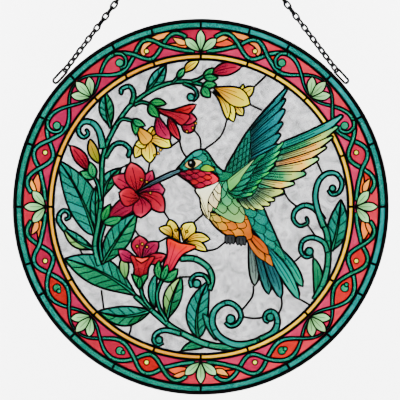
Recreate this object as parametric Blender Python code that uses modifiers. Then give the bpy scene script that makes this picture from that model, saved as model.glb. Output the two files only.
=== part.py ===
"""Round leaded glass panel with two hanging chains.

The panel stands in the XZ plane and its front faces -Y. The origin is the point inside the top of the
hanging ring that rests on a hook. Sizes are in metres. The picture is drawn in hundredths of its own
radius, from the middle of the panel.
"""
import math

import bmesh
import bpy
import numpy as np
from mathutils import Matrix, Vector
from mathutils.geometry import delaunay_2d_cdt

# Panel
PANEL_RADIUS = 0.150
HANG_HEIGHT = 0.258          # middle of the panel to the hanging point
RIM_WIDTH = 0.0018
RIM_DEPTH = 0.0070
RIM_ROUNDING = 0.0006
LEAD_DEPTH = 0.0050
LEAD_WIDTH = 0.0017
GLASS_DEPTH = 0.0030
CLEARANCE = 0.0003           # between pieces that touch

# Rings, each between the middle lines of its two round leads
TEAL_RING_WIDTH = 0.0055
BORDER_WIDTH = 0.0204
YELLOW_RING_WIDTH = 0.0044
PICTURE_EDGE = 0.0010        # from the innermost round lead to the unit circle of the drawing
OUTER_LEAD_RADIUS = PANEL_RADIUS - RIM_WIDTH - CLEARANCE
TEAL_LEAD_RADIUS = OUTER_LEAD_RADIUS - TEAL_RING_WIDTH
FIELD_LEAD_RADIUS = TEAL_LEAD_RADIUS - BORDER_WIDTH
PICTURE_LEAD_RADIUS = FIELD_LEAD_RADIUS - YELLOW_RING_WIDTH
PICTURE_RADIUS = PICTURE_LEAD_RADIUS - PICTURE_EDGE

# Joints of the two glass rings, in degrees from the top, the same on both sides
TEAL_JOINTS = (0, 15.5, 28.7, 44.8, 60.7, 69.9, 90, 108.3, 118.7, 135.1, 151.3, 180)
YELLOW_JOINTS = (0, 18.1, 29.8, 44.2, 70.2, 90, 119.3, 135.3, 161.8, 180)

# Border ornament
SECTOR = 45.0                # degrees from one rosette to the next
VINE_WIDTH = 0.0032          # between the middles of its two leads
VINE_MARGIN = 0.0008         # from the outermost lead of a swinging vine to the border's round leads
VINE_SWING = (BORDER_WIDTH - VINE_WIDTH) / 2.0 - VINE_MARGIN
VINE_CROSSINGS = (13.4, 23.5, 37.4)
VINE_ENDS = (2.2, 43.2)
ROSETTE_LEAF = 0.0172
ROSETTE_LEAF_WIDTH = 0.0072
ROSETTE_SPREAD = 46.0
BEAD_RADIUS = 0.0036
BEAD_ANGLE = 29.8

# Hanging loops, chains and ring
LOOP_LENGTH = 0.0160
LOOP_WIDTH = 0.0060
LOOP_WIRE = 0.0016
LOOP_ANGLE = 42.9            # above the horizontal, as seen from the middle of the panel
LINK_WIDTH = 0.0050
LINK_WIRE = 0.0012
LINK_PITCH = 0.0057
LINK_BITE = 0.0008           # how much closer than their width the wires of fused links lie
RING_HOLE = 0.0046           # radius
RING_WIRE = 0.0020

# Fineness of the solids
CIRCLE_STEPS = 48
BEND_TOLERANCE = 0.0009      # for the middle lines of the leads
EDGE_TOLERANCE = 0.0006      # for the edges of the glass
MERGE = 0.00008
CLOSEST = CLEARANCE / 2.0    # nearest that an outline comes to another of its own edges
SMALLEST_TRIANGLE = 1.0e-12
ON_THE_LINE = 0.999          # share of an inset's distance that counts as the whole
SHARP_CORNER = 1.1           # below this sum of two unit normals an outer corner gets a flat end
FLAT_END = 0.6               # length of a flat end's halves as a share of the inset
LONGEST_MITRE = 12.0         # as a share of the inset
SMALLEST_WEB = 45.0e-6       # smaller glass is fused flush with its leads
SMALLEST_ROSETTE_WEB = 28.0e-6
SMALLEST_CLEAR_WEB = 75.0e-6

COLOURS = {
    "black_metal": ((0.012, 0.012, 0.014), 0.35, 0.8),
    "lead": ((0.010, 0.010, 0.012), 0.45, 0.6),
    "clear": ((0.80, 0.80, 0.81), 0.20, 0.0),
    "teal": ((0.03, 0.45, 0.40), 0.15, 0.0),
    "yellow": ((1.00, 0.72, 0.25), 0.15, 0.0),
    "green": ((0.03, 0.42, 0.22), 0.15, 0.0),
    "red": ((0.55, 0.01, 0.05), 0.15, 0.0),
    "cream": ((1.00, 0.86, 0.50), 0.15, 0.0),
    "orange": ((0.85, 0.30, 0.06), 0.15, 0.0),
    "coral": ((0.75, 0.08, 0.08), 0.15, 0.0),
    "sage": ((0.55, 0.62, 0.42), 0.15, 0.0),
}


# Plane geometry, all in metres on the panel: x to the right, z up, from its middle

def share(point):
    """A point of the drawing, in hundredths of the picture's radius, as metres."""
    return np.array(point, float) * PICTURE_RADIUS / 100.0


def polar(radius, degrees_from_top):
    angle = math.radians(degrees_from_top)
    return np.array((radius * math.sin(angle), radius * math.cos(angle)))


def circle(radius, steps=CIRCLE_STEPS, middle=(0.0, 0.0)):
    return [np.array(middle) + polar(radius, 360.0 * i / steps) for i in range(steps)]


def smooth(points, per_span, closed=False):
    """A curve through the points, with per_span steps between each two of them."""
    count = len(points)
    spans = count if closed else count - 1
    result = []
    for i in range(spans):
        if closed:
            a, b, c, d = (points[(i + k) % count] for k in (-1, 0, 1, 2))
        else:
            a, b, c, d = (points[min(max(i + k, 0), count - 1)] for k in (-1, 0, 1, 2))
        for step in range(per_span):
            t = step / per_span
            result.append(0.5 * (2 * b + (c - a) * t + (2 * a - 5 * b + 4 * c - d) * t ** 2
                                 + (3 * b - a - 3 * c + d) * t ** 3))
    if not closed:
        result.append(points[-1])
    return result


def directions(path):
    steps = [path[min(i + 1, len(path) - 1)] - path[max(i - 1, 0)] for i in range(len(path))]
    return [step / max(np.linalg.norm(step), 1e-9) for step in steps]


def left_of(direction):
    return np.array((-direction[1], direction[0]))


def leaf(base, tip, width, bow=0.0, steps=4, swell=0.5):
    """A pointed leaf, petal or feather. bow bends it to its left, as a share of its length."""
    base, tip = np.array(base, float), np.array(tip, float)
    along = tip - base
    side = left_of(along)
    left, right = [], []
    for i in range(1, steps):
        t = i / steps
        middle = base + along * t + side * bow * 4.0 * t * (1.0 - t)
        fat = math.sin(math.pi * t ** (math.log(0.5) / math.log(swell)))
        half = left_of(along / np.linalg.norm(along)) * width / 2.0 * fat ** 0.8
        left.append(middle + half)
        right.append(middle - half)
    return [base] + right + [tip] + left[::-1]


def band(path, start_width, end_width, per_span=1):
    """A strip along a path, which grows or shrinks evenly in width."""
    path = smooth(path, per_span)
    last = len(path) - 1
    left, right = [], []
    for i, (point, direction) in enumerate(zip(path, directions(path))):
        half = left_of(direction) * (start_width + (end_width - start_width) * i / last) / 2.0
        left.append(point + half)
        right.append(point - half)
    return right + left[::-1]


# The picture: each shape is a name and an outline, painted one over the other

def picture_leaf(name, base, tip, width, bow=0.0, swell=0.5, steps=4):
    scale = PICTURE_RADIUS / 100.0
    return name, [leaf(share(base), share(tip), width * scale, bow, steps, swell)]


def picture_band(name, path, start_width, end_width):
    scale = PICTURE_RADIUS / 100.0
    return name, [band([share(point) for point in path], start_width * scale, end_width * scale)]


def picture_disc(name, middle, radius, steps=8):
    return name, [circle(radius * PICTURE_RADIUS / 100.0, steps, share(middle))]


def picture_area(name, points):
    return name, [[share(point) for point in points]]


def curl(name, path, start_width, end_width, head_radius):
    """A scroll: a strip that ends in a round head at the path's last point."""
    return [picture_band(name, path, start_width, end_width), picture_disc(name, path[-1], head_radius, 7)]


def stems():
    """Stems and scrolls. Their narrow glass is fused flush with the leads on both sides of it."""
    shapes = [
        picture_band("metal", [(-69.5, -40), (-72.5, -27), (-70.5, -14), (-68.3, 2), (-67.8, 18), (-67.3, 31),
                               (-64.6, 42), (-60.4, 51), (-55, 60.5), (-48, 69.5), (-38, 77), (-28, 82.4),
                               (-18, 85.3), (-8, 85.6), (1, 83.5)], 3.2, 2.6),
        picture_band("metal", [(42, -91), (30, -95), (16, -96), (3, -93.8), (-9, -88.5), (-18, -83.5),
                               (-26, -77.5), (-35, -69.5), (-45, -61)], 5.0, 3.0),
        picture_band("metal", [(-41.5, -53), (-39.4, -62), (-34, -69.5)], 2.4, 2.4),
        picture_band("metal", [(-26, -49), (-29.8, -59), (-28.4, -69), (-23, -78)], 2.4, 2.4),
        picture_band("metal", [(-58, 56), (-53.5, 60), (-46.5, 58.5)], 2.2, 2.2),
        picture_band("metal", [(-45.5, 69.5), (-40.5, 71.6), (-34, 70)], 2.2, 2.2),
        picture_band("metal", [(-6, 86), (-1.5, 87.3), (3, 90)], 2.2, 2.2),
        picture_band("metal", [(-19, 85), (-14.5, 90)], 2.0, 2.0),
        picture_band("metal", [(-74, 22), (-70.3, 15), (-68.6, 4)], 2.2, 2.2),
        picture_band("metal", [(-67.5, -37), (-69, -24), (-65, -9)], 2.4, 2.4),
        picture_band("metal", [(78, -63.5), (84, -52), (87, -38), (86.6, -20), (82, -8)], 4.4, 3.8),
        picture_band("metal", [(-14, -35.5), (-4.5, -35.5), (4.5, -41), (8, -49), (6, -57)], 4.4, 3.4),
    ]
    scrolls = (
        ([(82, -8), (77, -1.5), (69.7, 0.6), (63.7, -3), (63.2, -10), (68, -14), (72.6, -11)], 3.8, 2.2, 1.6),
        ([(84, -14), (79, 4), (79.8, 15.5), (85.2, 22.5), (92.4, 22.3), (96.4, 15.5), (94, 9), (89.7, 10)],
         3.8, 3.2, 2.6),
        ([(86.4, -31), (82.3, -25), (76, -21.6), (70, -23.5), (68.2, -30), (74, -31)], 3.4, 3.4, 3.4),
        ([(-12, 84.5), (-4.5, 81), (-2.2, 75.5), (-7.1, 74.2)], 2.4, 3.0, 2.9),
        ([(-15, -87), (-24, -84.5), (-31, -86), (-32.6, -91), (-28.6, -91.4)], 3.4, 3.2, 3.2),
        ([(6, -53), (3, -47.5), (-3, -46.5), (-7, -50.5), (-3.8, -52.4)], 2.6, 3.2, 2.8),
        ([(40, -90), (29, -93), (18, -90), (10.5, -81.5), (9.5, -73), (14, -67), (21, -66.5), (26.6, -72),
          (26.4, -79), (20, -77.5)], 4.8, 4.0, 3.6),
        ([(40.5, -90.6), (47, -88), (52, -82), (52.4, -75.5), (46.6, -74.8)], 4.6, 4.0, 3.6),
        ([(-67, 39), (-69, 51), (-75, 57), (-82, 55.5), (-83.4, 49), (-79, 47)], 4.4, 3.8, 2.8),
        ([(-92.5, -16), (-96, -8), (-94.5, -2.5), (-90.4, -4.6)], 3.6, 3.0, 2.4),
        ([(-65, 33.5), (-60, 41.8), (-53.7, 43.6), (-49, 39)], 2.0, 3.8, 2.0),
        ([(-47.5, 70.5), (-45.8, 77), (-48.5, 82.2), (-54, 80.6)], 3.0, 3.6, 2.0),
    )
    for path, start_width, end_width, head_radius in scrolls:
        shapes += curl("metal", path, start_width, end_width, head_radius)
    return shapes


def leaves():
    return [
        picture_leaf("leaf", (-72.5, -20), (-97.6, 33), 24, -0.04, 0.42, 5),
        picture_leaf("leaf", (-44, -61), (-93.2, -35.5), 22, -0.06, 0.55, 5),
        picture_leaf("leaf", (-34, -71), (-70, -71.5), 13.5, 0.10, 0.5, 4),
        picture_leaf("leaf", (-67.3, -39), (-43.8, -4.2), 17, 0.02, 0.5, 4),
        picture_leaf("leaf", (-66.4, 7.5), (-54.5, 26.5), 10, 0.12, 0.5, 3),
        picture_leaf("golden_leaf", (-69.5, 29.5), (-75.8, 46.5), 8, 0.05, 0.5, 3),
        picture_leaf("leaf", (-61.6, 54), (-65.3, 78), 11, 0.04, 0.55, 3),
        picture_leaf("leaf", (-37, 79), (-23.8, 97), 10, -0.03, 0.5, 3),
        picture_leaf("leaf", (-51.2, -49.5), (-52.4, -32.6), 7.5, 0.04, 0.5, 3),
        picture_leaf("leaf", (-23, -77), (-13.4, -47.7), 14, 0.04, 0.52, 4),
        picture_leaf("metal", (-31.3, -70), (-30, -45), 5.6, 0.10, 0.5, 3),
        picture_leaf("leaf", (-1.8, -90), (6, -50), 16, 0.10, 0.4, 5),
        picture_leaf("metal", (3.5, -94.6), (-13.6, -98.5), 6.5, -0.10, 0.4, 3),
        picture_leaf("metal", (10.5, -91.5), (1.4, -73), 6.5, -0.05, 0.5, 3),
        picture_leaf("leaf", (89.7, -30), (96, 5), 14.5, -0.03, 0.45, 4),
        picture_leaf("metal", (78, -61), (77, -34.5), 7, -0.10, 0.5, 3),
        picture_leaf("leaf", (-73.5, -29), (-94, -14.5), 9.5, 0.08, 0.5, 3),
    ]


def red_flower():
    """The large open flower that the bird drinks from, with its tube behind."""
    throat = (-43.6, 9)
    return [
        picture_area("red_tube", [(-63.3, -7.6), (-60, 0), (-52, 6.5), (-42, 4), (-45, -2), (-55, -8)]),
        picture_leaf("metal", (-67, -11), (-61.6, 2), 5.5, 0.05, 0.4, 3),
        picture_leaf("metal", (-67, -11), (-53.5, -7.2), 6, -0.05, 0.4, 3),
        picture_leaf("red_petal", throat, (-60.5, 20.4), 12, -0.10, 0.55, 4),
        picture_leaf("red_petal", throat, (-33, 25), 9, -0.08, 0.55, 3),
        picture_leaf("red_petal", throat, (-48, 30.6), 14, -0.05, 0.55, 4),
        picture_leaf("red_petal", throat, (-24.4, 11.5), 13, 0.06, 0.62, 4),
        picture_leaf("red_petal", throat, (-24.8, -3.5), 12, 0.14, 0.62, 4),
        picture_leaf("red_petal", throat, (-41, -7.6), 13, 0.12, 0.62, 4),
        picture_leaf("red_petal", (-41.5, 6), (-56, 9.5), 13, 0.08, 0.55, 4),
    ]


def cream_lily():
    """The cream flower above the red one, hanging from its stem by a pointed calyx."""
    throat = (-36, 46)
    return [
        picture_leaf("cream_petal", throat, (-33, 55), 7, -0.10, 0.5, 3),
        picture_leaf("cream_petal", throat, (-21.6, 52.6), 8, 0.10, 0.6, 3),
        picture_leaf("cream_petal", throat, (-20, 41), 10, 0.14, 0.55, 3),
        picture_leaf("cream_petal", throat, (-45, 33.4), 8, -0.08, 0.55, 3),
        picture_leaf("cream_petal", throat, (-34.8, 29.8), 10.5, 0.0, 0.5, 4),
        picture_leaf("cream_petal", throat, (-45, 42.4), 7, 0.12, 0.5, 3),
        picture_area("cream_tube", [(-43.6, 55), (-33, 48.5), (-37, 42.5), (-41.6, 44.6)]),
        picture_leaf("metal", (-46.5, 60), (-44.6, 48.8), 5, 0.08, 0.45, 3),
        picture_leaf("metal", (-46.5, 60), (-37.8, 55.4), 5, -0.06, 0.45, 3),
    ]


def red_trumpet_above():
    return [
        picture_disc("red_petal", (-8.4, 55), 4.6),
        picture_leaf("red_petal", (-20, 64), (-2.6, 59.6), 9, -0.05, 0.62, 3),
        picture_leaf("red_petal", (-24, 66.4), (-3, 70), 6.5, -0.14, 0.62, 3),
        picture_leaf("red_petal", (-22, 62), (-14, 45.4), 6, -0.05, 0.5, 3),
        picture_leaf("red_petal", (-29.5, 64.5), (-20.6, 46), 9, -0.14, 0.62, 4),
        picture_area("red_tube", [(-29, 67.4), (-20, 65.4), (-7.4, 62.6), (-13, 55.6), (-19.6, 60.4), (-27.4, 64)]),
        picture_leaf("metal", (-35.4, 70.6), (-23.4, 70.4), 5.5, 0.08, 0.45, 3),
        picture_leaf("metal", (-35.4, 70.6), (-28.4, 61), 6.5, -0.08, 0.45, 3),
    ]


def cream_trumpet():
    return [
        picture_leaf("cream_petal", (19, 74), (29.4, 84), 5, -0.20, 0.6, 3),
        picture_leaf("cream_petal", (24, 74), (36.4, 82), 7, -0.04, 0.6, 3),
        picture_leaf("cream_petal", (22, 70), (29, 62.4), 6, 0.06, 0.6, 3),
        picture_leaf("cream_petal", (8, 80), (22.6, 58), 7.5, 0.10, 0.7, 4),
        picture_leaf("cream_petal", (7, 79), (18.4, 59.4), 6, 0.16, 0.65, 4),
        picture_leaf("cream_petal", (8, 82), (34, 70), 13, 0.02, 0.62, 4),
        picture_leaf("metal", (1, 82), (11, 83.6), 6, 0.08, 0.45, 3),
        picture_leaf("metal", (1, 82), (6.4, 74.8), 6.5, -0.04, 0.45, 3),
    ]


def red_trumpet_below():
    return [
        picture_leaf("red_petal", (-41, -36), (-42, -19.6), 12, 0.0, 0.6, 4),
        picture_leaf("red_petal", (-40, -36.6), (-28.8, -24), 9, 0.06, 0.6, 3),
        picture_leaf("red_petal", (-42, -36.6), (-56.4, -29.6), 8, 0.10, 0.6, 3),
        picture_leaf("red_petal", (-40, -35.4), (-23.6, -33), 8, -0.10, 0.55, 3),
        picture_area("red_tube", [(-48, -33.4), (-40, -35.4), (-31.6, -34), (-35.6, -42), (-37.4, -50),
                                  (-45.8, -50), (-45.6, -42)]),
        picture_leaf("metal", (-42, -56.5), (-47.4, -46), 5, -0.14, 0.5, 3),
        picture_leaf("metal", (-42, -56.5), (-36, -46), 5, 0.14, 0.5, 3),
    ]


def two_tone_trumpet():
    return [
        picture_leaf("cream_petal", (-14, -24), (-21.6, -8.6), 9, 0.08, 0.6, 4),
        picture_leaf("cream_petal", (-12, -24), (-5, -10.6), 10.5, 0.06, 0.62, 4),
        picture_leaf("cream_petal", (-19, -22), (-28.6, -14.4), 6.5, -0.18, 0.6, 3),
        picture_leaf("cream_petal", (-11, -24.5), (6.4, -22.2), 7.5, 0.12, 0.55, 3),
        picture_leaf("cream_petal", (-12, -25), (4.6, -30.4), 6, 0.10, 0.6, 3),
        picture_area("orange_tube", [(-22.8, -21.6), (-14, -24.6), (-3, -27.4), (-13, -33.6), (-20, -44),
                                     (-25.8, -41.4), (-23, -32)]),
        picture_leaf("metal", (-26.5, -50.5), (-28.2, -36.4), 5.5, 0.14, 0.45, 3),
        picture_leaf("metal", (-26.5, -50.5), (-15.6, -42.4), 6.5, -0.10, 0.45, 3),
    ]


def buds():
    return [
        picture_leaf("red_petal", (7, 91.2), (28, 95.8), 9, 0.04, 0.5, 4),
        picture_leaf("metal", (2, 88.6), (9, 94.8), 5, 0.0, 0.5, 3),
        picture_leaf("metal", (2, 88.6), (12, 88), 5, 0.0, 0.5, 3),
        picture_leaf("cream_petal", (-12, 92), (-1.2, 100), 6, 0.04, 0.5, 3),
        picture_leaf("metal", (-16, 88), (-11, 95), 4.5, 0.0, 0.5, 3),
        picture_leaf("red_petal", (-77, 25.6), (-89.4, 42), 8.5, -0.03, 0.45, 4),
        picture_leaf("metal", (-73, 19.6), (-82.6, 24), 6, 0.0, 0.45, 3),
        picture_leaf("metal", (-73, 19.6), (-75.6, 30.6), 6, 0.0, 0.45, 3),
    ]


def feather_fan(name, roots, tips, width, bow=0.0, swell=0.6):
    """Feathers whose roots and tips run evenly along two curves, each over the one before."""
    return [picture_leaf(name, root, tip, width, bow, swell, 3) for root, tip in zip(roots, tips)]


def along(points, count):
    """Evenly spaced points on a curve of the drawing."""
    fine = np.array(smooth([np.array(point, float) for point in points], 8))
    reach = np.concatenate(([0.0], np.cumsum(np.linalg.norm(np.diff(fine, axis=0), axis=1))))
    wanted = np.linspace(0.0, reach[-1], count)
    return list(zip(np.interp(wanted, reach, fine[:, 0]), np.interp(wanted, reach, fine[:, 1])))


def bird():
    shapes = [picture_area("wing_base", [(16.6, 25), (26, 44), (33.4, 55.4), (36, 48), (40, 44), (30, 30),
                                         (22, 20)])]
    shapes += feather_fan("back_feather", along([(25, 37), (34, 40)], 5)[::-1],
                          along([(57.2, 81.8), (57, 66), (53.6, 50)], 5)[::-1], 11, 0.05, 0.66)
    shapes += feather_fan("tail", along([(34, -20), (46, -18)], 5),
                          along([(37.2, -54.6), (46, -60), (55.2, -62.6), (68, -63.6), (70.4, -54)], 5), 9,
                          0.0, 0.66)
    shapes += [
        picture_leaf("undertail", (30, -16), (47, -36), 10, 0.06, 0.5, 3),
        picture_area("back", [(27, 2), (41, 0), (48, -12), (53, -24), (60, -39), (50, -30), (40, -20), (33, -12)]),
        picture_area("belly", [(2, -3.6), (5.6, -8.4), (11, -15), (17.6, -19.6), (26, -22.6), (35, -21.5),
                               (34, -12), (29, -4), (18, -5)]),
        picture_area("side", [(13, 19), (6.2, -1), (12, -5), (20, -9.5), (28.5, -10.8), (30, -3), (24, 6),
                              (20, 16)]),
        picture_area("breast", [(-3.4, 12.6), (-0.6, 2.4), (2.2, -4), (5, -7), (9, 0), (12.3, 8), (13.3, 18.5)]),
        picture_area("throat", [(-16.6, 23.6), (-8, 16.6), (-3, 12.6), (3, 13.4), (12.8, 18.4), (6, 24.4),
                                (-4, 25.6)]),
        picture_area("head", [(-17, 24), (-10, 33), (-4.5, 38), (1, 39.4), (6.8, 35), (11.4, 27.6), (22, 22.6),
                              (18, 17), (13, 17.6), (6, 24.4), (-6, 25.6)]),
        picture_leaf("metal", (-12, 25.8), (-45, 9.6), 3.4, -0.02, 0.4, 3),
        picture_disc("metal", (20, -22.4), 3.2, 6),
        picture_disc("metal", (27.5, -23.4), 3.6, 6),
    ]
    shapes += feather_fan("front_feather", along([(30, 4), (45, 16), (48, 34)], 9),
                          along([(29, -0.6), (41, -2.4), (54, 7.6), (72, 25), (87, 44), (95.6, 62.4)], 9), 12,
                          -0.04, 0.66)
    shapes += [
        picture_area("coverts", [(19, 10), (27, 3), (38, 6), (46, 16), (52, 30), (55, 46), (44, 38), (31, 27.6),
                                 (20, 18)]),
        picture_leaf("shoulder", (20, 9.4), (45, 38), 9, 0.12, 0.35, 4),
    ]
    return shapes


def background_leads():
    """Lead lines that part the clear glass between the figures."""
    lines = [
        [(-48.2, 38), (-48, 30)], [(-34.9, 30.4), (-36.4, 20)], [(-21, 41), (-15.4, 44.8), (-14, 47)],
        [(-14.6, 45), (-9, 35)], [(-5, 52.8), (-0.6, 47), (0, 39)], [(18, 60), (13.5, 48), (2, 39)],
        [(33.6, 70), (42, 66)], [(36, 81.6), (46, 91)], [(-55, 26.2), (-48, 30)],
        [(-25, -3.6), (-21.6, -9)], [(-5, -11), (3, -4)], [(4, -30), (11, -28.6), (19, -22)],
        [(-29, -24.2), (-22, -20.6)], [(-45.6, -8), (-46, -14), (-42, -20)], [(56, 12), (66, 0)],
        [(78, 34), (84, 23)], [(73.4, -13), (80, -22)], [(69, -33), (60, -39.6)], [(68, -63.4), (76, -68)],
        [(55, -62), (55.4, -68), (52, -76)], [(38, -54), (36, -62), (26, -73)],
        [(28, -75), (36, -76.4), (44, -75.6)], [(-68, -60), (-66.4, -70)],
        [(-50, -77), (-47.6, -82), (-49.6, -89)], [(-86.4, -20), (-84, -26), (-78.6, -38)],
        [(-14, -48), (-5, -48)], [(-89, 41), (-92, 44)], [(-13, -98), (-16, -101)],
        [(-55, -28), (-66, -20)], [(-24, 96), (-22, 100)], [(28, 95.6), (31, 97.6)], [(57, 81), (59, 83.6)],
    ]
    return [("background", [share(point) for point in line]) for line in lines]


# The border: two vines that cross between rosettes

def vine_swing(angle):
    """Side to side place of a vine at an angle of its sector, from -1 to 1."""
    first, middle, last = VINE_CROSSINGS
    start, end = VINE_ENDS
    if angle < first:
        return -math.sin(0.5 * math.pi * (first - angle) / (first - start))
    if angle < middle:
        return math.sin(math.pi * (angle - first) / (middle - first))
    if angle < last:
        return -math.sin(math.pi * (angle - middle) / (last - middle))
    return math.sin(0.5 * math.pi * (angle - last) / (end - last))


def border():
    middle = 0.5 * (TEAL_LEAD_RADIUS + FIELD_LEAD_RADIUS)
    steps = 9
    start, end = VINE_ENDS
    shapes = []
    for sector in range(8):
        turn = SECTOR * 2 * ((sector + 1) // 2)
        way = 1.0 if sector % 2 == 0 else -1.0
        for side in (1.0, -1.0):
            path = []
            for i in range(steps + 1):
                angle = start + (end - start) * i / steps
                path.append(polar(middle + side * VINE_SWING * vine_swing(angle), 90 + turn + way * angle))
            shapes.append(("metal", [band(path, VINE_WIDTH, VINE_WIDTH)]))
        bead = polar(middle, 90 + turn + way * BEAD_ANGLE)
        shapes.append(("metal", [circle(BEAD_RADIUS, 6, bead)]))
        lean = SECTOR * sector
        base = polar(FIELD_LEAD_RADIUS + LEAD_WIDTH, lean)
        reach = TEAL_LEAD_RADIUS - FIELD_LEAD_RADIUS - LEAD_WIDTH
        for spread in (-ROSETTE_SPREAD, ROSETTE_SPREAD, 0.0):
            length = min(ROSETTE_LEAF, reach)
            tip = base + polar(length, lean + spread)
            shapes.append(("rosette_leaf", [leaf(base, tip, ROSETTE_LEAF_WIDTH, 0.0, 2, 0.5)]))
    return shapes


def ring_joints():
    """Short leads across the teal and the yellow ring."""
    lines = []
    rings = (("teal_ring", TEAL_JOINTS, TEAL_LEAD_RADIUS, OUTER_LEAD_RADIUS),
             ("yellow_ring", YELLOW_JOINTS, PICTURE_LEAD_RADIUS, FIELD_LEAD_RADIUS))
    for name, joints, inner, outer in rings:
        for angle in joints:
            for side in ((1,) if angle in (0, 180) else (1, -1)):
                ends = (inner - LEAD_WIDTH / 2.0, outer + LEAD_WIDTH / 2.0)
                lines.append((name, [polar(radius, side * angle) for radius in ends]))
    return lines


def ring(name, outer, inner):
    return name, [circle(outer), circle(inner)[::-1]]


def drawing():
    """All shapes, from the bottom up. The rings are painted over the plants, and the bird over them."""
    shapes = [ring("border", TEAL_LEAD_RADIUS, FIELD_LEAD_RADIUS)]
    shapes += border()
    shapes.append(ring("teal_ring", OUTER_LEAD_RADIUS, TEAL_LEAD_RADIUS))
    shapes.append(("background", [circle(PICTURE_LEAD_RADIUS)]))
    shapes += leaves() + stems()
    shapes += cream_lily() + red_trumpet_above() + cream_trumpet()
    shapes += red_trumpet_below() + two_tone_trumpet() + buds() + red_flower()
    shapes.append(ring("yellow_ring", FIELD_LEAD_RADIUS, PICTURE_LEAD_RADIUS))
    return shapes + bird()


# Planar map: the shapes cut each other into regions, and leads run along the borders of regions

def turns_round(points, loops):
    """How many times closed loops turn round each point."""
    turns = np.zeros(len(points), int)
    x, y = points[:, 0][:, None], points[:, 1][:, None]
    for loop in loops:
        ring_points = np.array(loop)
        following = np.roll(ring_points, -1, axis=0)
        x1, y1, x2, y2 = ring_points[:, 0], ring_points[:, 1], following[:, 0], following[:, 1]
        turn = (x2 - x1) * (y - y1) - (x - x1) * (y2 - y1)
        turns += ((y1 <= y) & (y2 > y) & (turn > 0)).sum(1) - ((y1 > y) & (y2 <= y) & (turn < 0)).sum(1)
    return turns


def triangulate(points, edges):
    """Delaunay triangles of the plane that keep every edge; also which edges came from the input."""
    scale = 1000.0
    found = delaunay_2d_cdt([Vector(p) * scale for p in points], edges, [], 0, MERGE * scale, True)
    places = np.array([tuple(p) for p in found[0]]) / scale
    kept = {tuple(sorted(edge)): source for edge, source in zip(found[1], found[4]) if source}
    triangles = []
    for corners in found[2]:
        for k in range(1, len(corners) - 1):
            triangle = (corners[0], corners[k], corners[k + 1])
            a, b, c = (places[i] for i in triangle)
            area = (b[0] - a[0]) * (c[1] - a[1]) - (b[1] - a[1]) * (c[0] - a[0])
            if area < 0:
                triangle = triangle[::-1]
            if abs(area) > SMALLEST_TRIANGLE:
                triangles.append(triangle)
    return places, triangles, kept


def add_loop(points, edges, loop, closed=True):
    start = len(points)
    points.extend(loop)
    edges.extend((start + i, start + i + 1) for i in range(len(loop) - 1))
    if closed:
        edges.append((start + len(loop) - 1, start))


def neighbours(triangles):
    sides = {}
    for number, (a, b, c) in enumerate(triangles):
        for edge in ((a, b), (b, c), (c, a)):
            sides.setdefault(tuple(sorted(edge)), []).append(number)
    return sides


def name_triangles(places, triangles, shapes):
    """The topmost shape over each triangle, as its name and number, or None outside them all."""
    middles = np.array([places[list(t)].mean(axis=0) for t in triangles])
    names = [None] * len(triangles)
    for number, (name, loops) in enumerate(shapes):
        key = (name, 0 if name == "metal" else number)
        for index in np.nonzero(turns_round(middles, loops))[0]:
            names[index] = key
    return names


def lead_graph(shapes, lines):
    """Middle lines of the leads: borders between unlike regions, and the parting lines in them."""
    points, edges = [], []
    for _, loops in shapes:
        for loop in loops:
            add_loop(points, edges, loop)
    parted = {}
    for name, line in lines:
        for number in range(len(edges), len(edges) + len(line) - 1):
            parted[number] = name
        add_loop(points, edges, line, closed=False)
    places, triangles, kept = triangulate(points, edges)
    names = name_triangles(places, triangles, shapes)
    graph = {}
    for edge, owners in neighbours(triangles).items():
        sides = {names[owner] for owner in owners}
        if len(owners) == 1:
            sides.add(None)
        side_words = {key and key[0] for key in sides}
        parting = {parted[source] for source in kept.get(edge, ()) if source in parted}
        if len(sides) > 1 or side_words & parting:
            graph.setdefault(edge[0], set()).add(edge[1])
            graph.setdefault(edge[1], set()).add(edge[0])
    return places, graph


def chains_of(graph):
    """The graph's lines, each from one junction to the next, and its closed loops."""
    used = set()
    chains = []
    starts = [v for v in graph if len(graph[v]) != 2] + list(graph)
    for start in starts:
        for step in sorted(graph[start]):
            if (start, step) in used:
                continue
            chain = [start, step]
            while len(graph[chain[-1]]) == 2 and chain[-1] != start:
                chain.append(next(v for v in graph[chain[-1]] if v != chain[-2]))
            for a, b in zip(chain, chain[1:]):
                used.add((a, b))
                used.add((b, a))
            chains.append(chain)
    return chains


def thin_out(line, tolerance):
    """Leaves out the points of a line that lie closer than the tolerance to its run."""
    if len(line) < 3:
        return line
    start, end = line[0], line[-1]
    run = end - start
    length = np.linalg.norm(run)
    if length < 1e-9:
        away = [np.linalg.norm(p - start) for p in line]
    else:
        away = [abs(run[0] * (p[1] - start[1]) - run[1] * (p[0] - start[0])) / length for p in line]
    far = int(np.argmax(away))
    if away[far] < tolerance:
        return [start, end]
    return thin_out(line[:far + 1], tolerance)[:-1] + thin_out(line[far:], tolerance)


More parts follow.
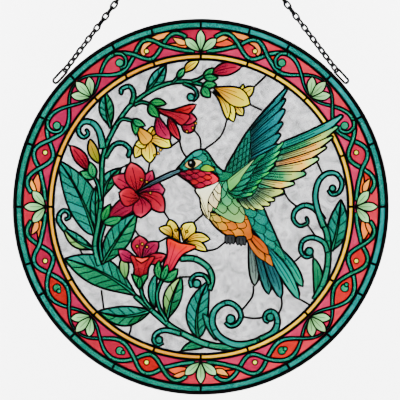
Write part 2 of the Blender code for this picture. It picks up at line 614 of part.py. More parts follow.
def regions(shapes, lines):
    """Glass regions between the leads' middle lines: name, oriented edges and triangles."""
    places, graph = lead_graph(shapes, lines)
    points, edges = [], []
    for chain in chains_of(graph):
        line = [places[i] for i in chain]
        closed = chain[0] == chain[-1]
        if closed:
            half = len(line) // 2
            line = thin_out(line[:half + 1], BEND_TOLERANCE)[:-1] + thin_out(line[half:], BEND_TOLERANCE)
        else:
            line = thin_out(line, BEND_TOLERANCE)
        add_loop(points, edges, line, closed=False)
    places, triangles, kept = triangulate(points, edges)
    names = name_triangles(places, triangles, shapes)
    sides = neighbours(triangles)
    group = [-1] * len(triangles)
    found = []
    for seed in range(len(triangles)):
        if group[seed] >= 0:
            continue
        group[seed] = len(found)
        members, border_edges = [], []
        queue = [seed]
        while queue:
            number = queue.pop()
            members.append(number)
            a, b, c = triangles[number]
            for edge in ((a, b), (b, c), (c, a)):
                key = tuple(sorted(edge))
                if key in kept or len(sides[key]) == 1:
                    border_edges.append(edge)
                    continue
                for other in sides[key]:
                    if group[other] < 0:
                        group[other] = len(found)
                        queue.append(other)
        areas = {}
        for number in members:
            a, b, c = (places[i] for i in triangles[number])
            size = 0.5 * ((b[0] - a[0]) * (c[1] - a[1]) - (b[1] - a[1]) * (c[0] - a[0]))
            areas[names[number]] = areas.get(names[number], 0.0) + size
        found.append((max(areas, key=areas.get), border_edges))
    return places, found


def loops_of(oriented):
    """Closed loops of oriented edges, as lists of vertices. Where loops touch, they turn left first."""
    following = {}
    for a, b in oriented:
        following.setdefault(a, []).append(b)
    loops = []
    while following:
        start = next(iter(following))
        loop = [start]
        while True:
            options = following[loop[-1]]
            step = options.pop()
            if not options:
                del following[loop[-1]]
            if step == start:
                break
            loop.append(step)
        loops.append(loop)
    return loops


def distance_to_edges(points, starts, ends):
    run = ends - starts
    reach = points[:, None, :] - starts[None, :, :]
    t = np.clip((reach * run).sum(2) / np.maximum((run * run).sum(1), 1e-18), 0.0, 1.0)
    gap = reach - t[:, :, None] * run
    return np.sqrt((gap * gap).sum(2)).min(1)


def corner_points(before, after, corner, distance):
    """Where an outline turns when it is moved to its left: a mitre, or a flat end round a sharp tip."""
    before = before / max(np.linalg.norm(before), 1e-9)
    after = after / max(np.linalg.norm(after), 1e-9)
    normals = left_of(before) + left_of(after)
    size = np.linalg.norm(normals)
    turns_right = before[0] * after[1] - before[1] * after[0] < 0.0
    if size < 1e-3 or (turns_right and size < SHARP_CORNER):
        cap = FLAT_END * distance
        return [corner + left_of(before) * distance + before * cap, corner + left_of(after) * distance - after * cap]
    return [corner + normals / size * min(2.0 * distance / size, LONGEST_MITRE * distance)]


def inset(places, border_edges, distance, tolerance):
    """Openings left when each border edge takes a strip of the given width from a region."""
    points, edges = [], []
    rings = [np.array([places[i] for i in loop]) for loop in loops_of(border_edges)]
    for ring_points in rings:
        corners = []
        for i, corner in enumerate(ring_points):
            corners += corner_points(corner - ring_points[i - 1], ring_points[(i + 1) % len(ring_points)] - corner,
                                     corner, distance)
        if len(corners) > 2:
            add_loop(points, edges, corners)
    if not edges:
        return []
    spots, triangles, _ = triangulate(points, edges)
    if not triangles:
        return []
    starts = np.array([places[a] for a, b in border_edges])
    ends = np.array([places[b] for a, b in border_edges])
    middles = np.array([spots[list(t)].mean(axis=0) for t in triangles])
    clear = distance_to_edges(middles, starts, ends) > distance * ON_THE_LINE
    winding = turns_round(middles, rings)
    open_triangles = [t for t, free, turns in zip(triangles, clear, winding) if free and turns > 0]
    return pieces_of(spots, open_triangles, tolerance)


def pieces_of(spots, triangles, tolerance):
    """Connected groups of triangles, each as its outline loops and area."""
    sides = neighbours(triangles)
    group = [-1] * len(triangles)
    result = []
    for seed in range(len(triangles)):
        if group[seed] >= 0:
            continue
        group[seed] = seed
        queue, outline, area = [seed], [], 0.0
        while queue:
            number = queue.pop()
            a, b, c = triangles[number]
            pa, pb, pc = spots[a], spots[b], spots[c]
            area += 0.5 * ((pb[0] - pa[0]) * (pc[1] - pa[1]) - (pb[1] - pa[1]) * (pc[0] - pa[0]))
            for edge in ((a, b), (b, c), (c, a)):
                owners = sides[tuple(sorted(edge))]
                if len(owners) == 1:
                    outline.append(edge)
                for other in owners:
                    if group[other] < 0:
                        group[other] = seed
                        queue.append(other)
        loops = [[spots[i] for i in loop] for loop in loops_of(outline)]
        result.append((drop_straight(loops, tolerance), area))
    return [piece for piece in result if piece[0]]


def drop_straight(loops, tolerance):
    """The same loops with only the points that their shape needs, none of them close to another edge."""
    smallest = tolerance / 10.0
    while tolerance > smallest:
        result = []
        for loop in loops:
            far = int(np.argmax([np.linalg.norm(point - loop[0]) for point in loop]))
            kept = thin_out(loop[:far + 1], tolerance)[:-1] + thin_out(loop[far:] + loop[:1], tolerance)[:-1]
            if len(kept) > 2:
                result.append(kept)
        close = close_corner(result)
        if not close:
            return result
        tolerance /= 2.0
    while close:
        number, corner = close
        result[number] = result[number][:corner] + result[number][corner + 1:]
        result = [loop for loop in result if len(loop) > 2]
        close = close_corner(result)
    return result


def close_corner(loops):
    """The first corner that is close to an edge which doesn't end in it: its loop and place, or None."""
    if not loops:
        return None
    starts = np.array([point for loop in loops for point in loop])
    ends = np.array([loop[(i + 1) % len(loop)] for loop in loops for i in range(len(loop))])
    before = np.cumsum([0] + [len(loop) for loop in loops])
    for number, loop in enumerate(loops):
        for i in range(len(loop)):
            here = before[number] + i
            others = np.ones(len(starts), bool)
            others[[here, before[number] + (i - 1) % len(loop)]] = False
            if distance_to_edges(starts[here][None, :], starts[others], ends[others])[0] < CLOSEST:
                return number, i
            if crosses(starts[here], ends[here], starts[others], ends[others]):
                return number, i
    return None


def crosses(start, end, starts, ends):
    """Whether the line from start to end properly crosses any of the others."""
    def side(a, b, c):
        return (b[..., 0] - a[..., 0]) * (c[..., 1] - a[..., 1]) - (b[..., 1] - a[..., 1]) * (c[..., 0] - a[..., 0])
    return bool(np.any((side(start, end, starts) * side(start, end, ends) < 0)
                       & (side(starts, ends, start) * side(starts, ends, end) < 0)))


def stands_free(point, others):
    return all(np.linalg.norm(point - other) > CLEARANCE for other in others)


# Solids

def material(name):
    made = bpy.data.materials.get(name)
    if made:
        return made
    colour, roughness, metallic = COLOURS[name]
    made = bpy.data.materials.new(name)
    made.use_nodes = True
    shader = made.node_tree.nodes["Principled BSDF"]
    shader.inputs["Base Color"].default_value = (*colour, 1.0)
    shader.inputs["Roughness"].default_value = roughness
    shader.inputs["Metallic"].default_value = metallic
    return made


def place(point, depth):
    """A point of the panel's plane as a place in space, with depth towards the back."""
    return Vector((point[0], depth, point[1] - HANG_HEIGHT))


def new_object(collection, name, data, colour):
    item = bpy.data.objects.new(name, data)
    data.materials.append(material(colour))
    collection.objects.link(item)
    return item


def pane(collection, name, loops, colour):
    """A flat piece of glass: its outline, with any holes, as a filled 2D curve."""
    data = bpy.data.curves.new(name, "CURVE")
    data.dimensions = "2D"
    data.fill_mode = "BOTH"
    data.extrude = GLASS_DEPTH / 2.0
    for loop in loops:
        spline = data.splines.new("POLY")
        spline.points.add(len(loop) - 1)
        for spot, point in zip(spline.points, loop):
            spot.co = (point[0], point[1], 0.0, 1.0)
        spline.use_cyclic_u = True
    item = new_object(collection, name, data, colour)
    item.rotation_euler = (math.pi / 2.0, 0.0, 0.0)
    item.location = (0.0, 0.0, -HANG_HEIGHT)
    return item


def level_map(outer, openings, webs):
    """Triangles of the net's plane, each with its level: 2 for lead, 1 for web and 0 for open."""
    points, edges = [], []
    for loops in [[outer]] + openings + webs:
        for loop in loops:
            add_loop(points, edges, loop)
    spots, triangles, _ = triangulate(points, edges)
    middles = np.array([spots[list(t)].mean(axis=0) for t in triangles])
    level = np.where(turns_round(middles, [outer]) != 0, 2, 0)
    for group, value in ((openings, 0), (webs, 1)):
        for loops in group:
            level[turns_round(middles, loops) > 0] = value
    return spots, triangles, level


def leading(collection, openings, webs):
    """The lead net: open where a pane sits, and thinner where small glass is fused to it.

    The thinner webs are flush with the back of the leads. Every triangle of the front is one of lead,
    web or opening, and a wall joins the levels where two of them meet. The back has only the openings.
    """
    outer = circle(OUTER_LEAD_RADIUS)
    mesh = bmesh.new()
    made = {}

    def vertex(point, depth):
        key = (float(point[0]), float(point[1]), depth)
        if key not in made:
            made[key] = mesh.verts.new(place(point, depth))
        return made[key]

    back = LEAD_DEPTH / 2.0
    front = {2: -LEAD_DEPTH / 2.0, 1: -GLASS_DEPTH / 2.0, 0: back}
    spots, triangles, level = level_map(outer, openings, webs)
    sides = neighbours(triangles)
    for number, corners in enumerate(triangles):
        near = front[level[number]]
        if level[number] == 0:
            continue
        mesh.faces.new([vertex(spots[i], near) for i in corners])
        for edge in zip(corners, corners[1:] + corners[:1]):
            others = [front[level[n]] for n in sides[tuple(sorted(edge))] if n != number] or [back]
            if others[0] > near:
                wall = ((edge[1], near), (edge[0], near), (edge[0], others[0]), (edge[1], others[0]))
                mesh.faces.new([vertex(spots[i], depth) for i, depth in wall])
    spots, triangles, level = level_map(outer, openings, [])
    for corners, kind in zip(triangles, level):
        if kind > 0:
            mesh.faces.new([vertex(spots[i], back) for i in corners[::-1]])
    data = bpy.data.meshes.new("leading")
    mesh.to_mesh(data)
    mesh.free()
    return new_object(collection, "leading", data, "lead")


def rim(collection):
    """The outer band: a chamfered strip turned round the panel's middle."""
    outer, inner = PANEL_RADIUS, PANEL_RADIUS - RIM_WIDTH
    half, cut = RIM_DEPTH / 2.0, RIM_ROUNDING
    profile = [(outer, half - cut), (outer, cut - half), (outer - cut, -half), (inner, -half), (inner, half),
               (outer - cut, half)]
    data = bpy.data.meshes.new("rim")
    count = len(profile)
    data.from_pydata([(r, 0.0, z) for r, z in profile], [(i, (i + 1) % count) for i in range(count)], [])
    item = new_object(collection, "rim", data, "black_metal")
    turn = item.modifiers.new("turn", "SCREW")
    turn.axis = "Z"
    turn.steps = CIRCLE_STEPS
    turn.render_steps = CIRCLE_STEPS
    turn.use_merge_vertices = True
    turn.merge_threshold = 0.00005
    item.rotation_euler = (math.pi / 2.0, 0.0, 0.0)
    item.location = (0.0, 0.0, -HANG_HEIGHT)
    return item


def long_ring(length, width, wire, around, across):
    """A wire ring drawn out along X: a torus whose two halves are moved apart."""
    half_step = math.pi / around
    radius = (width - wire) / 2.0 / math.cos(half_step)
    bpy.ops.mesh.primitive_torus_add(major_segments=around, minor_segments=across, major_radius=radius,
                                     minor_radius=wire / 2.0)
    item = bpy.context.active_object
    item.data.transform(Matrix.Rotation(half_step, 4, "Z"))
    shift = (length - width) / 2.0
    for vertex in item.data.vertices:
        vertex.co.x += math.copysign(shift, vertex.co.x)
    return item


def axes(length_way, width_way, middle):
    """A placing matrix from the directions of a ring's length and width."""
    third = length_way.cross(width_way)
    rows = [(length_way[i], width_way[i], third[i], middle[i]) for i in range(3)]
    return Matrix(rows + [(0.0, 0.0, 0.0, 1.0)])


def loop_frame(side):
    """Middle and upward direction of a hanging loop on the rim; side is -1 at the left."""
    angle = math.radians(LOOP_ANGLE)
    outward = Vector((side * math.cos(angle), 0.0, math.sin(angle)))
    upward = Vector((-side * math.sin(angle), 0.0, math.cos(angle)))
    middle = Vector((0.0, 0.0, -HANG_HEIGHT)) + outward * (PANEL_RADIUS + CLEARANCE + LOOP_WIDTH / 2.0)
    return middle, upward, outward


def hanging_loop(collection, name, side):
    middle, upward, outward = loop_frame(side)
    item = long_ring(LOOP_LENGTH, LOOP_WIDTH, LOOP_WIRE, 12, 4)
    item.data.transform(axes(upward, outward, middle))
    return adopt(collection, item, name)


def adopt(collection, item, name):
    """Gives a new primitive its name, material and collection."""
    for old in list(item.users_collection):
        old.objects.unlink(item)
    item.name = name
    item.data.name = name
    item.data.materials.clear()
    item.data.materials.append(material("black_metal"))
    collection.objects.link(item)
    return item


def chain_ends(side):
    """Middles of the wire at a chain's two ends, inside its loop and inside the hanging ring."""
    middle, upward, _ = loop_frame(side)
    inset_in_loop = LOOP_LENGTH / 2.0 - LOOP_WIRE - CLEARANCE - LINK_WIRE / 2.0
    low = middle + upward * inset_in_loop
    ring_middle = Vector((0.0, 0.0, -RING_HOLE))
    way = (low - ring_middle).normalized()
    high = ring_middle + way * (RING_HOLE - CLEARANCE - LINK_WIRE / 2.0)
    return low, high


def chain(collection, name, side):
    """Links in a straight run, each a quarter turn from the last, with a slow twist along the run."""
    low, high = chain_ends(side)
    run = (high - low).length
    pairs = round((run / LINK_PITCH - 1.0) / 2.0)
    count = 2 * pairs + 1
    slack = LINK_WIRE - LINK_BITE
    pitch = (run - slack) / count
    length = pitch + slack + LINK_WIRE
    way = (high - low).normalized()
    depth_way = Vector((0.0, 1.0, 0.0))
    side_way = way.cross(depth_way)
    halves = []
    for start in (0, 1):
        links = bmesh.new()
        for number in range(start, count, 2):
            angle = math.radians(90.0 + 90.0 * number + 180.0 * number / (count - 1))
            width_way = side_way * math.cos(angle) + depth_way * math.sin(angle)
            middle = low + way * ((length - LINK_WIRE) / 2.0 + pitch * number)
            link = long_ring(length, LINK_WIDTH, LINK_WIRE, 4, 3)
            link.data.transform(axes(way, width_way, middle))
            links.from_mesh(link.data)
            bpy.data.objects.remove(link, do_unlink=True)
        data = bpy.data.meshes.new(name)
        links.to_mesh(data)
        links.free()
        halves.append(data)
    item = new_object(collection, name, halves[0], "black_metal")
    cutters = bpy.data.collections.get("guides") or bpy.data.collections.new("guides")
    if cutters.name not in bpy.context.scene.collection.children:
        bpy.context.scene.collection.children.link(cutters)
    guide = bpy.data.objects.new(name + "_second_links", halves[1])
    guide.hide_render = True
    guide.display_type = "WIRE"
    cutters.objects.link(guide)
    join = item.modifiers.new("join links", "BOOLEAN")
    join.operation = "UNION"
    join.object = guide
    return item


def hanging_ring(collection):
    item = long_ring(2.0 * (RING_HOLE + RING_WIRE), 2.0 * (RING_HOLE + RING_WIRE), RING_WIRE, 16, 4)
    item.data.transform(axes(Vector((1.0, 0.0, 0.0)), Vector((0.0, 0.0, 1.0)), Vector((0.0, 0.0, -RING_HOLE))))
    return adopt(collection, item, "hanging_ring")


# Names and colours of the glass pieces

GLASS = {
    "background": ("clear_glass", "clear"),
    "teal_ring": ("teal_ring_glass", "teal"),
    "yellow_ring": ("yellow_ring_glass", "yellow"),
    "border": ("border_glass", "red"),
    "rosette_leaf": ("rosette_leaf", "green"),
    "leaf": ("leaf", "green"),
    "golden_leaf": ("golden_leaf", "yellow"),
    "red_petal": ("red_petal", "red"),
    "red_tube": ("red_tube", "red"),
    "orange_tube": ("orange_tube", "coral"),
    "cream_petal": ("cream_petal", "cream"),
    "cream_tube": ("cream_tube", "yellow"),
    "wing_base": ("back_wing_coverts", "teal"),
    "back_feather": ("back_wing_feather", "teal"),
    "front_feather": ("front_wing_feather", "sage"),
    "coverts": ("front_wing_coverts", "green"),
    "shoulder": ("shoulder", "green"),
    "tail": ("tail_feather", "teal"),
    "undertail": ("undertail", "orange"),
    "back": ("back", "teal"),
    "belly": ("belly", "orange"),
    "side": ("side", "green"),
    "breast": ("breast", "cream"),
    "throat": ("throat", "red"),
    "head": ("head", "teal"),
}


# Where the glass pieces are that get a node of their own, in hundredths of the picture's radius
PANES = {
    "background": ((19, -39), (-13, 1), (54, -4), (66, 61), (14, 38), (-73, -60), (42, -66), (34, -83), (70, 11),
                   (-37, -14), (87, 2), (63, -69), (34, 88), (-91, -30), (2, -13), (88, 32), (-15, -77),
                   (46, 82), (-56, 33), (-54, 73), (-52, 51), (69, -6), (-41, 65), (-42, 85), (1, 96), (-10, -43)),
    "leaf": ((-83, 6), (-64, -48), (-56, -21), (-1, -67), (-52, -75), (93, -14), (-19, -62), (-65, 68),
             (-87, -22)),
    "coverts": ((40, 21),),
    "back": ((39, -10),),
    "side": ((17, 0),),
    "head": ((-1, 32),),
    "front_feather": ((80, 51),),
    "belly": ((24, -15),),
    "back_feather": ((44, 67),),
    "breast": ((5, 7),),
    "orange_tube": ((-17, -30),),
    "throat": ((-1, 19),),
    "cream_petal": ((22, 76),),
    "shoulder": ((28, 24),),
    "red_petal": ((-45, 21), (-30, 4)),
    "red_tube": ((-41, -41),),
    "tail": ((43, -46), (35, -43)),
    "undertail": ((41, -27),),
}


def pane_number(label, loops):
    """The number of the node that an opening's glass is, from 1, or 0 if it isn't one."""
    spots = np.array([share(spot) for spot in PANES.get(label, ())])
    held = np.nonzero(turns_round(spots, loops) > 0)[0] if len(spots) else []
    return int(held[0]) + 1 if len(held) else 0


def glass_openings():
    """All openings of the lead net: label, outline loops and area."""
    lines = background_leads() + ring_joints()
    places, found = regions(drawing(), lines)
    openings = []
    for name, border_edges in found:
        if name is None or name[0] == "metal":
            continue
        label = name[0]
        taken = []
        inner = inset(places, border_edges, LEAD_WIDTH / 2.0, EDGE_TOLERANCE)
        for loops, area in sorted(inner, key=lambda piece: -piece[1]):
            corners = [point for loop in loops for point in loop]
            if all(stands_free(point, taken) for point in corners):
                openings.append((label, loops, area))
            taken += corners
    return openings


def oriented_edges(loops):
    """Points and edges of loops, in the form that inset takes."""
    spots, edges = [], []
    for loop in loops:
        add_loop(spots, edges, loop)
    return spots, edges


def fitted_glass(loops):
    """The outline of the glass that fits into an opening of the lead net."""
    spots, edges = oriented_edges(loops)
    pieces = inset(spots, edges, CLEARANCE, MERGE)
    starts = np.array([spots[a] for a, b in edges])
    ends = np.array([spots[b] for a, b in edges])
    glass = []
    for loop in max(pieces, key=lambda piece: piece[1])[0]:
        gaps = distance_to_edges(np.array(loop), starts, ends)
        free = [point for point, gap in zip(loop, gaps) if gap > CLOSEST]
        if len(free) > 2:
            glass.append(free)
    return glass


def main():
    for item in list(bpy.data.objects):
        bpy.data.objects.remove(item, do_unlink=True)
    collection = bpy.data.collections.new("stained_glass_panel")
    bpy.context.scene.collection.children.link(collection)
    rim(collection)
    for side, word in ((-1, "left"), (1, "right")):
        hanging_loop(collection, "loop_" + word, side)
        chain(collection, "chain_" + word, side)
    hanging_ring(collection)
    cut, webs = [], []
    smallest = {"background": SMALLEST_CLEAR_WEB, "border": SMALLEST_CLEAR_WEB,
                "rosette_leaf": SMALLEST_ROSETTE_WEB}
    for label, loops, area in glass_openings():
        number = pane_number(label, loops)
        if number:
            word, colour = GLASS[label]
            pane(collection, f"{word}_{number:02d}", fitted_glass(loops), colour)
            cut.append(loops)
        elif area > smallest.get(label, SMALLEST_WEB):
            webs.append(loops)
    leading(collection, cut, webs)


if __name__ == "__main__":
    main()
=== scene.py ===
# Looks of a round leaded glass panel: coloured glass, black leads, painted lines, rim and chains.
# The picture is drawn in hundredths of its own radius, from the panel's middle, as seen from the front.
import math
import random

import bmesh
import bpy
import numpy as np
from mathutils import Matrix, Vector
from mathutils.geometry import delaunay_2d_cdt


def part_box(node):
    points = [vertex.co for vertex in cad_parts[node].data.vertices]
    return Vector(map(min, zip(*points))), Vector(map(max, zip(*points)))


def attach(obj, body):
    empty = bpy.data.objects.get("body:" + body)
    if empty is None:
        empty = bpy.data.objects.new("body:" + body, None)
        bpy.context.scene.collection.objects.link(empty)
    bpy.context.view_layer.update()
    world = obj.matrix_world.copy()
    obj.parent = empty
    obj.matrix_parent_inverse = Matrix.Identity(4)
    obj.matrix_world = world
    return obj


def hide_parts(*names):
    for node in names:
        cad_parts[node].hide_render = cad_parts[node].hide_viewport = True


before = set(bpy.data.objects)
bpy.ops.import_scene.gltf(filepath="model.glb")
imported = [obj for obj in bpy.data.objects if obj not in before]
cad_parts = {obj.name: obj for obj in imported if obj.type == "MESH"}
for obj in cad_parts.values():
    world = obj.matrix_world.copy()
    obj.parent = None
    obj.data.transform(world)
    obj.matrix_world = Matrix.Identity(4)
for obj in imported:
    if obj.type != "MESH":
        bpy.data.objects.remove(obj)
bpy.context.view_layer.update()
random.seed(7)

rimLow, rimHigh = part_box("rim")
panelMiddle = (rimLow + rimHigh) / 2
panelRadius = (rimHigh.x - rimLow.x) / 2
drawn = {"panelRadius": 150, "pictureShare": 0.7773}    # in millimetres, and as a share of the panel's radius
mm = panelRadius / drawn["panelRadius"]
unit = panelRadius * drawn["pictureShare"] / 100        # one hundredth of the picture's radius
# The middle lines of the round leads, and how many points each has
rings = {"outer": 126.8, "teal": 122.1, "field": 104.6, "picture": 100.9}
ringSteps = 192


# Plane geometry

def leftOf(direction):
    return np.array((-direction[1], direction[0]))


def onCircle(radius, degreesFromTop):
    angle = math.radians(degreesFromTop)
    return np.array((radius * math.sin(angle), radius * math.cos(angle)))


def circleLoop(radius, steps, middle=(0, 0)):
    return [np.array(middle) + onCircle(radius, -360 * i / steps) for i in range(steps)]


def smooth(points, perSpan, closed=False):
    points = [np.array(point, float) for point in points]
    count = len(points)
    result = []
    for i in range(count if closed else count - 1):
        if closed:
            a, b, c, d = (points[(i + k) % count] for k in (-1, 0, 1, 2))
        else:
            a, b, c, d = (points[min(max(i + k, 0), count - 1)] for k in (-1, 0, 1, 2))
        for step in range(perSpan):
            t = step / perSpan
            result.append(0.5 * (2 * b + (c - a) * t + (2 * a - 5 * b + 4 * c - d) * t ** 2
                                 + (3 * b - a - 3 * c + d) * t ** 3))
    if not closed:
        result.append(points[-1])
    return result


def spread(points, count):
    # Evenly spaced points on a smooth curve
    fine = np.array(smooth(points, 12))
    reach = np.concatenate(([0.0], np.cumsum(np.linalg.norm(np.diff(fine, axis=0), axis=1))))
    wanted = np.linspace(0.0, reach[-1], count)
    return list(np.stack((np.interp(wanted, reach, fine[:, 0]), np.interp(wanted, reach, fine[:, 1])), axis=1))


def bladeMap(base, tip, width, bow=0.0, swell=0.5, blunt=0.8):
    # A leaf, petal or feather: t runs from base to tip, s from -1 to 1 across
    base, tip = np.array(base, float), np.array(tip, float)
    length = tip - base
    across = leftOf(length) / np.linalg.norm(length) * width / 2
    sag = leftOf(length) * bow * 4
    power = math.log(0.5) / math.log(swell)

    def point(t, s):
        fat = math.sin(math.pi * min(max(t, 0.0), 1.0) ** power)
        return base + length * t + sag * t * (1 - t) + across * max(fat, 0.0) ** blunt * s
    return point


def bandSides(path, startWidth, endWidth, perSpan=5):
    path = smooth(path, perSpan)
    last = len(path) - 1
    left, right = [], []
    for i, point in enumerate(path):
        direction = path[min(i + 1, last)] - path[max(i - 1, 0)]
        half = leftOf(direction / max(np.linalg.norm(direction), 1e-9))
        half = half * (startWidth + (endWidth - startWidth) * i / last) / 2
        left.append(point + half)
        right.append(point - half)
    return left, right


# The picture: glass shapes painted one over the other, with parting leads and painted lines in them

shapes = []

# For each kind of glass: the width of the leads inside the figure and round it, in mm
leadWidths = {"usual": (1.3, 1.7), "vine": (1.4, 1.4), "field": (1.4, 1.4), "rosette": (1.1, 1.3),
              "bead": (1.0, 1.0), "clear": (1.6, 1.6), "ring": (2.1, 2.4), "scale": (0.8, 1.8),
              "feather": (1.2, 1.8), "smallFeather": (0.9, 1.5), "petal": (1.2, 1.7), "leaf": (1.3, 1.7)}
outermostLead = 2.2
# For each style of blade, its painted lines: place across, places along, radius
bladeLines = {"petal": [(0.05, (0.1, 0.3, 0.5, 0.7, 0.82), 0.3), (0.45, (0.2, 0.4, 0.58), 0.22),
                        (-0.45, (0.2, 0.38, 0.5), 0.22)],
              "feather": [(0.3, (0.02, 0.3, 0.6, 0.86), 0.3), (-0.35, (0.05, 0.3, 0.55, 0.72), 0.26)],
              "rib": [(0, (0.0, 0.25, 0.5, 0.72), 0.22)]}
# A leaf's side veins run through points given as places along, from the vein's root, and across
leafShape = {"blunt": 0.85, "steps": 16, "firstVein": 0.10, "veinReach": 0.74, "veinWidth": 0.8,
             "vein": ((0, 0), (0.06, 0.35), (0.13, 0.7), (0.17, 1.02)), "ribWidth": 1.9, "ribEnd": 0.5}
fanLines = {"middle": 0.62, "radius": 0.28}
scrollCuts = (0.3, 0.55, 0.78)


def paint(glass, loops, axis, kind="usual", key=None, lines=(), partings=(), partWidth=0.65, halfWidth=None):
    number = len(shapes)
    shapes.append({"glass": glass, "loops": [np.array(loop) for loop in loops], "kind": kind,
                   "key": key if key is not None else number, "axis": [np.array(end, float) for end in axis],
                   "lines": list(lines), "partings": list(partings), "partWidth": partWidth,
                   "halfWidth": halfWidth})


def paintArea(glass, points, axis, perSpan=4, **details):
    paint(glass, [smooth(points, perSpan, closed=True)], axis, **details)


def paintBlade(glass, base, tip, width, bow=0.0, swell=0.5, blunt=0.8, steps=9, kind="usual", style=None):
    point = bladeMap(base, tip, width, bow, swell, blunt)
    turns = [i / steps for i in range(1, steps)]
    rightSide = [point(t, -1) for t in turns]
    leftSide = [point(t, 1) for t in reversed(turns)]
    lines = [([point(t, across) for t in along], radius)
             for across, along, radius in bladeLines.get(style, ())]
    paint(glass, [[point(0, 0)] + rightSide + [point(1, 0)] + leftSide], (base, tip), kind=kind, lines=lines,
          halfWidth=width / 2)


def paintLeaf(glasses, base, tip, width, bow, swell, veins, rib):
    # Two halves of unlike glass, parted by side veins, with a pale midrib between them
    point = bladeMap(base, tip, width, bow, swell, leafShape["blunt"])
    steps = leafShape["steps"]
    for side, glass in zip((1, -1), glasses):
        middle = [point(i / steps, 0) for i in range(steps + 1)]
        edge = [point(i / steps, side) for i in range(1, steps)]
        partings = []
        for i in range(veins):
            t = leafShape["firstVein"] + leafShape["veinReach"] * i / veins
            partings.append([point(t + along, across * side) for along, across in leafShape["vein"]])
        paint(glass, [middle + edge[::-1]], (base, tip), kind="leaf", partings=partings,
              partWidth=leafShape["veinWidth"], halfWidth=width / 2)
    if rib:
        paintBand("midribGreen", [point(i / 8, 0) for i in range(8)], leafShape["ribWidth"],
                  leafShape["ribEnd"], kind="petal", perSpan=3)


def paintFan(glass, roots, tips, kind, bow=0.02, roundness=0.3, cut=0.9, second=0.3):
    # Feathers side by side: each lies between its own upper edge and that of the next one
    edges = []
    for root, tip in zip(roots, tips):
        root, tip = np.array(root, float), np.array(tip, float)
        sag = leftOf(tip - root) * bow * 4
        edges.append([root + (tip - root) * t + sag * t * (1 - t) for t in np.linspace(0, 1, 13)])
    last = max(2, round(cut * 12))
    for i, (upper, lower) in enumerate(zip(edges, edges[1:])):
        tip, notch = upper[-1], lower[last]
        onward = (tip - upper[-3]) / np.linalg.norm(tip - upper[-3])
        bulge = tip * 0.55 + notch * 0.45 + onward * (np.linalg.norm(tip - notch) * roundness)
        cap = smooth([upper[-2], tip, bulge, notch, lower[last - 1]], 4)[5:-4]
        lines = []
        for share, count in ((second, 11), (fanLines["middle"], 9)):
            lines.append(([a * (1 - share) + b * share for a, b in zip(upper[1:count:2], lower[1:count:2])],
                          fanLines["radius"]))
        paint(glass[i % len(glass)], [upper + cap + lower[:last][::-1]], (upper[0], tip), kind=kind,
              lines=lines if second else [], halfWidth=np.linalg.norm(upper[6] - lower[6]))


def paintBand(glass, path, startWidth, endWidth, kind="usual", key=None, cuts=(), perSpan=5):
    left, right = bandSides(path, startWidth, endWidth, perSpan)
    partings = [[left[int(cut * (len(left) - 1))], right[int(cut * (len(left) - 1))]] for cut in cuts]
    paint(glass, [right + left[::-1]], (path[0], path[-1]), kind=kind, key=key, partings=partings,
          halfWidth=startWidth / 2)


def paintDisc(glass, middle, radius, kind="usual", key=None, steps=16):
    middle = np.array(middle, float)
    paint(glass, [circleLoop(radius, steps, middle)], (middle - (radius, 0), middle + (radius, 0)), kind=kind,
          key=key)


def paintScroll(glass, path, startWidth, endWidth, headRadius, head):
    # A curling tendril with a round head, at the end of its path or inside its curl
    key = len(shapes)
    paintBand(glass, path, startWidth, endWidth, key=key, cuts=scrollCuts)
    paintDisc(glass, head or path[-1], headRadius, key=None if head else key)


def scaleArcs(startSide, endSide, rows, columns, pointed):
    # Fish-scale leads on a grid between two sides that run the way the scales point
    starts, ends = spread(startSide, rows + 2), spread(endSide, rows + 2)

    def place(a, d):
        row = min(int(d), rows)
        first = starts[row] + (starts[row + 1] - starts[row]) * (d - row)
        second = ends[row] + (ends[row + 1] - ends[row]) * (d - row)
        return first + (second - first) * a / columns
    arcs = []
    for row in range(rows):
        for column in range(columns + 1):
            middle = column + 0.5 * (row % 2)
            arc = []
            for step in range(7):
                angle = math.pi * (step / 6 - 0.5)
                sharp = 1 - abs(math.sin(angle))
                depth = math.cos(angle) ** 0.8 * (1 - pointed) + sharp * pointed
                arc.append(place(middle + 0.5 * math.sin(angle), row + depth))
            arcs.append(arc)
    return arcs


def paintScales(glass, points, axis, *grid):
    paintArea(glass, points, axis, kind="scale", partings=scaleArcs(*grid))


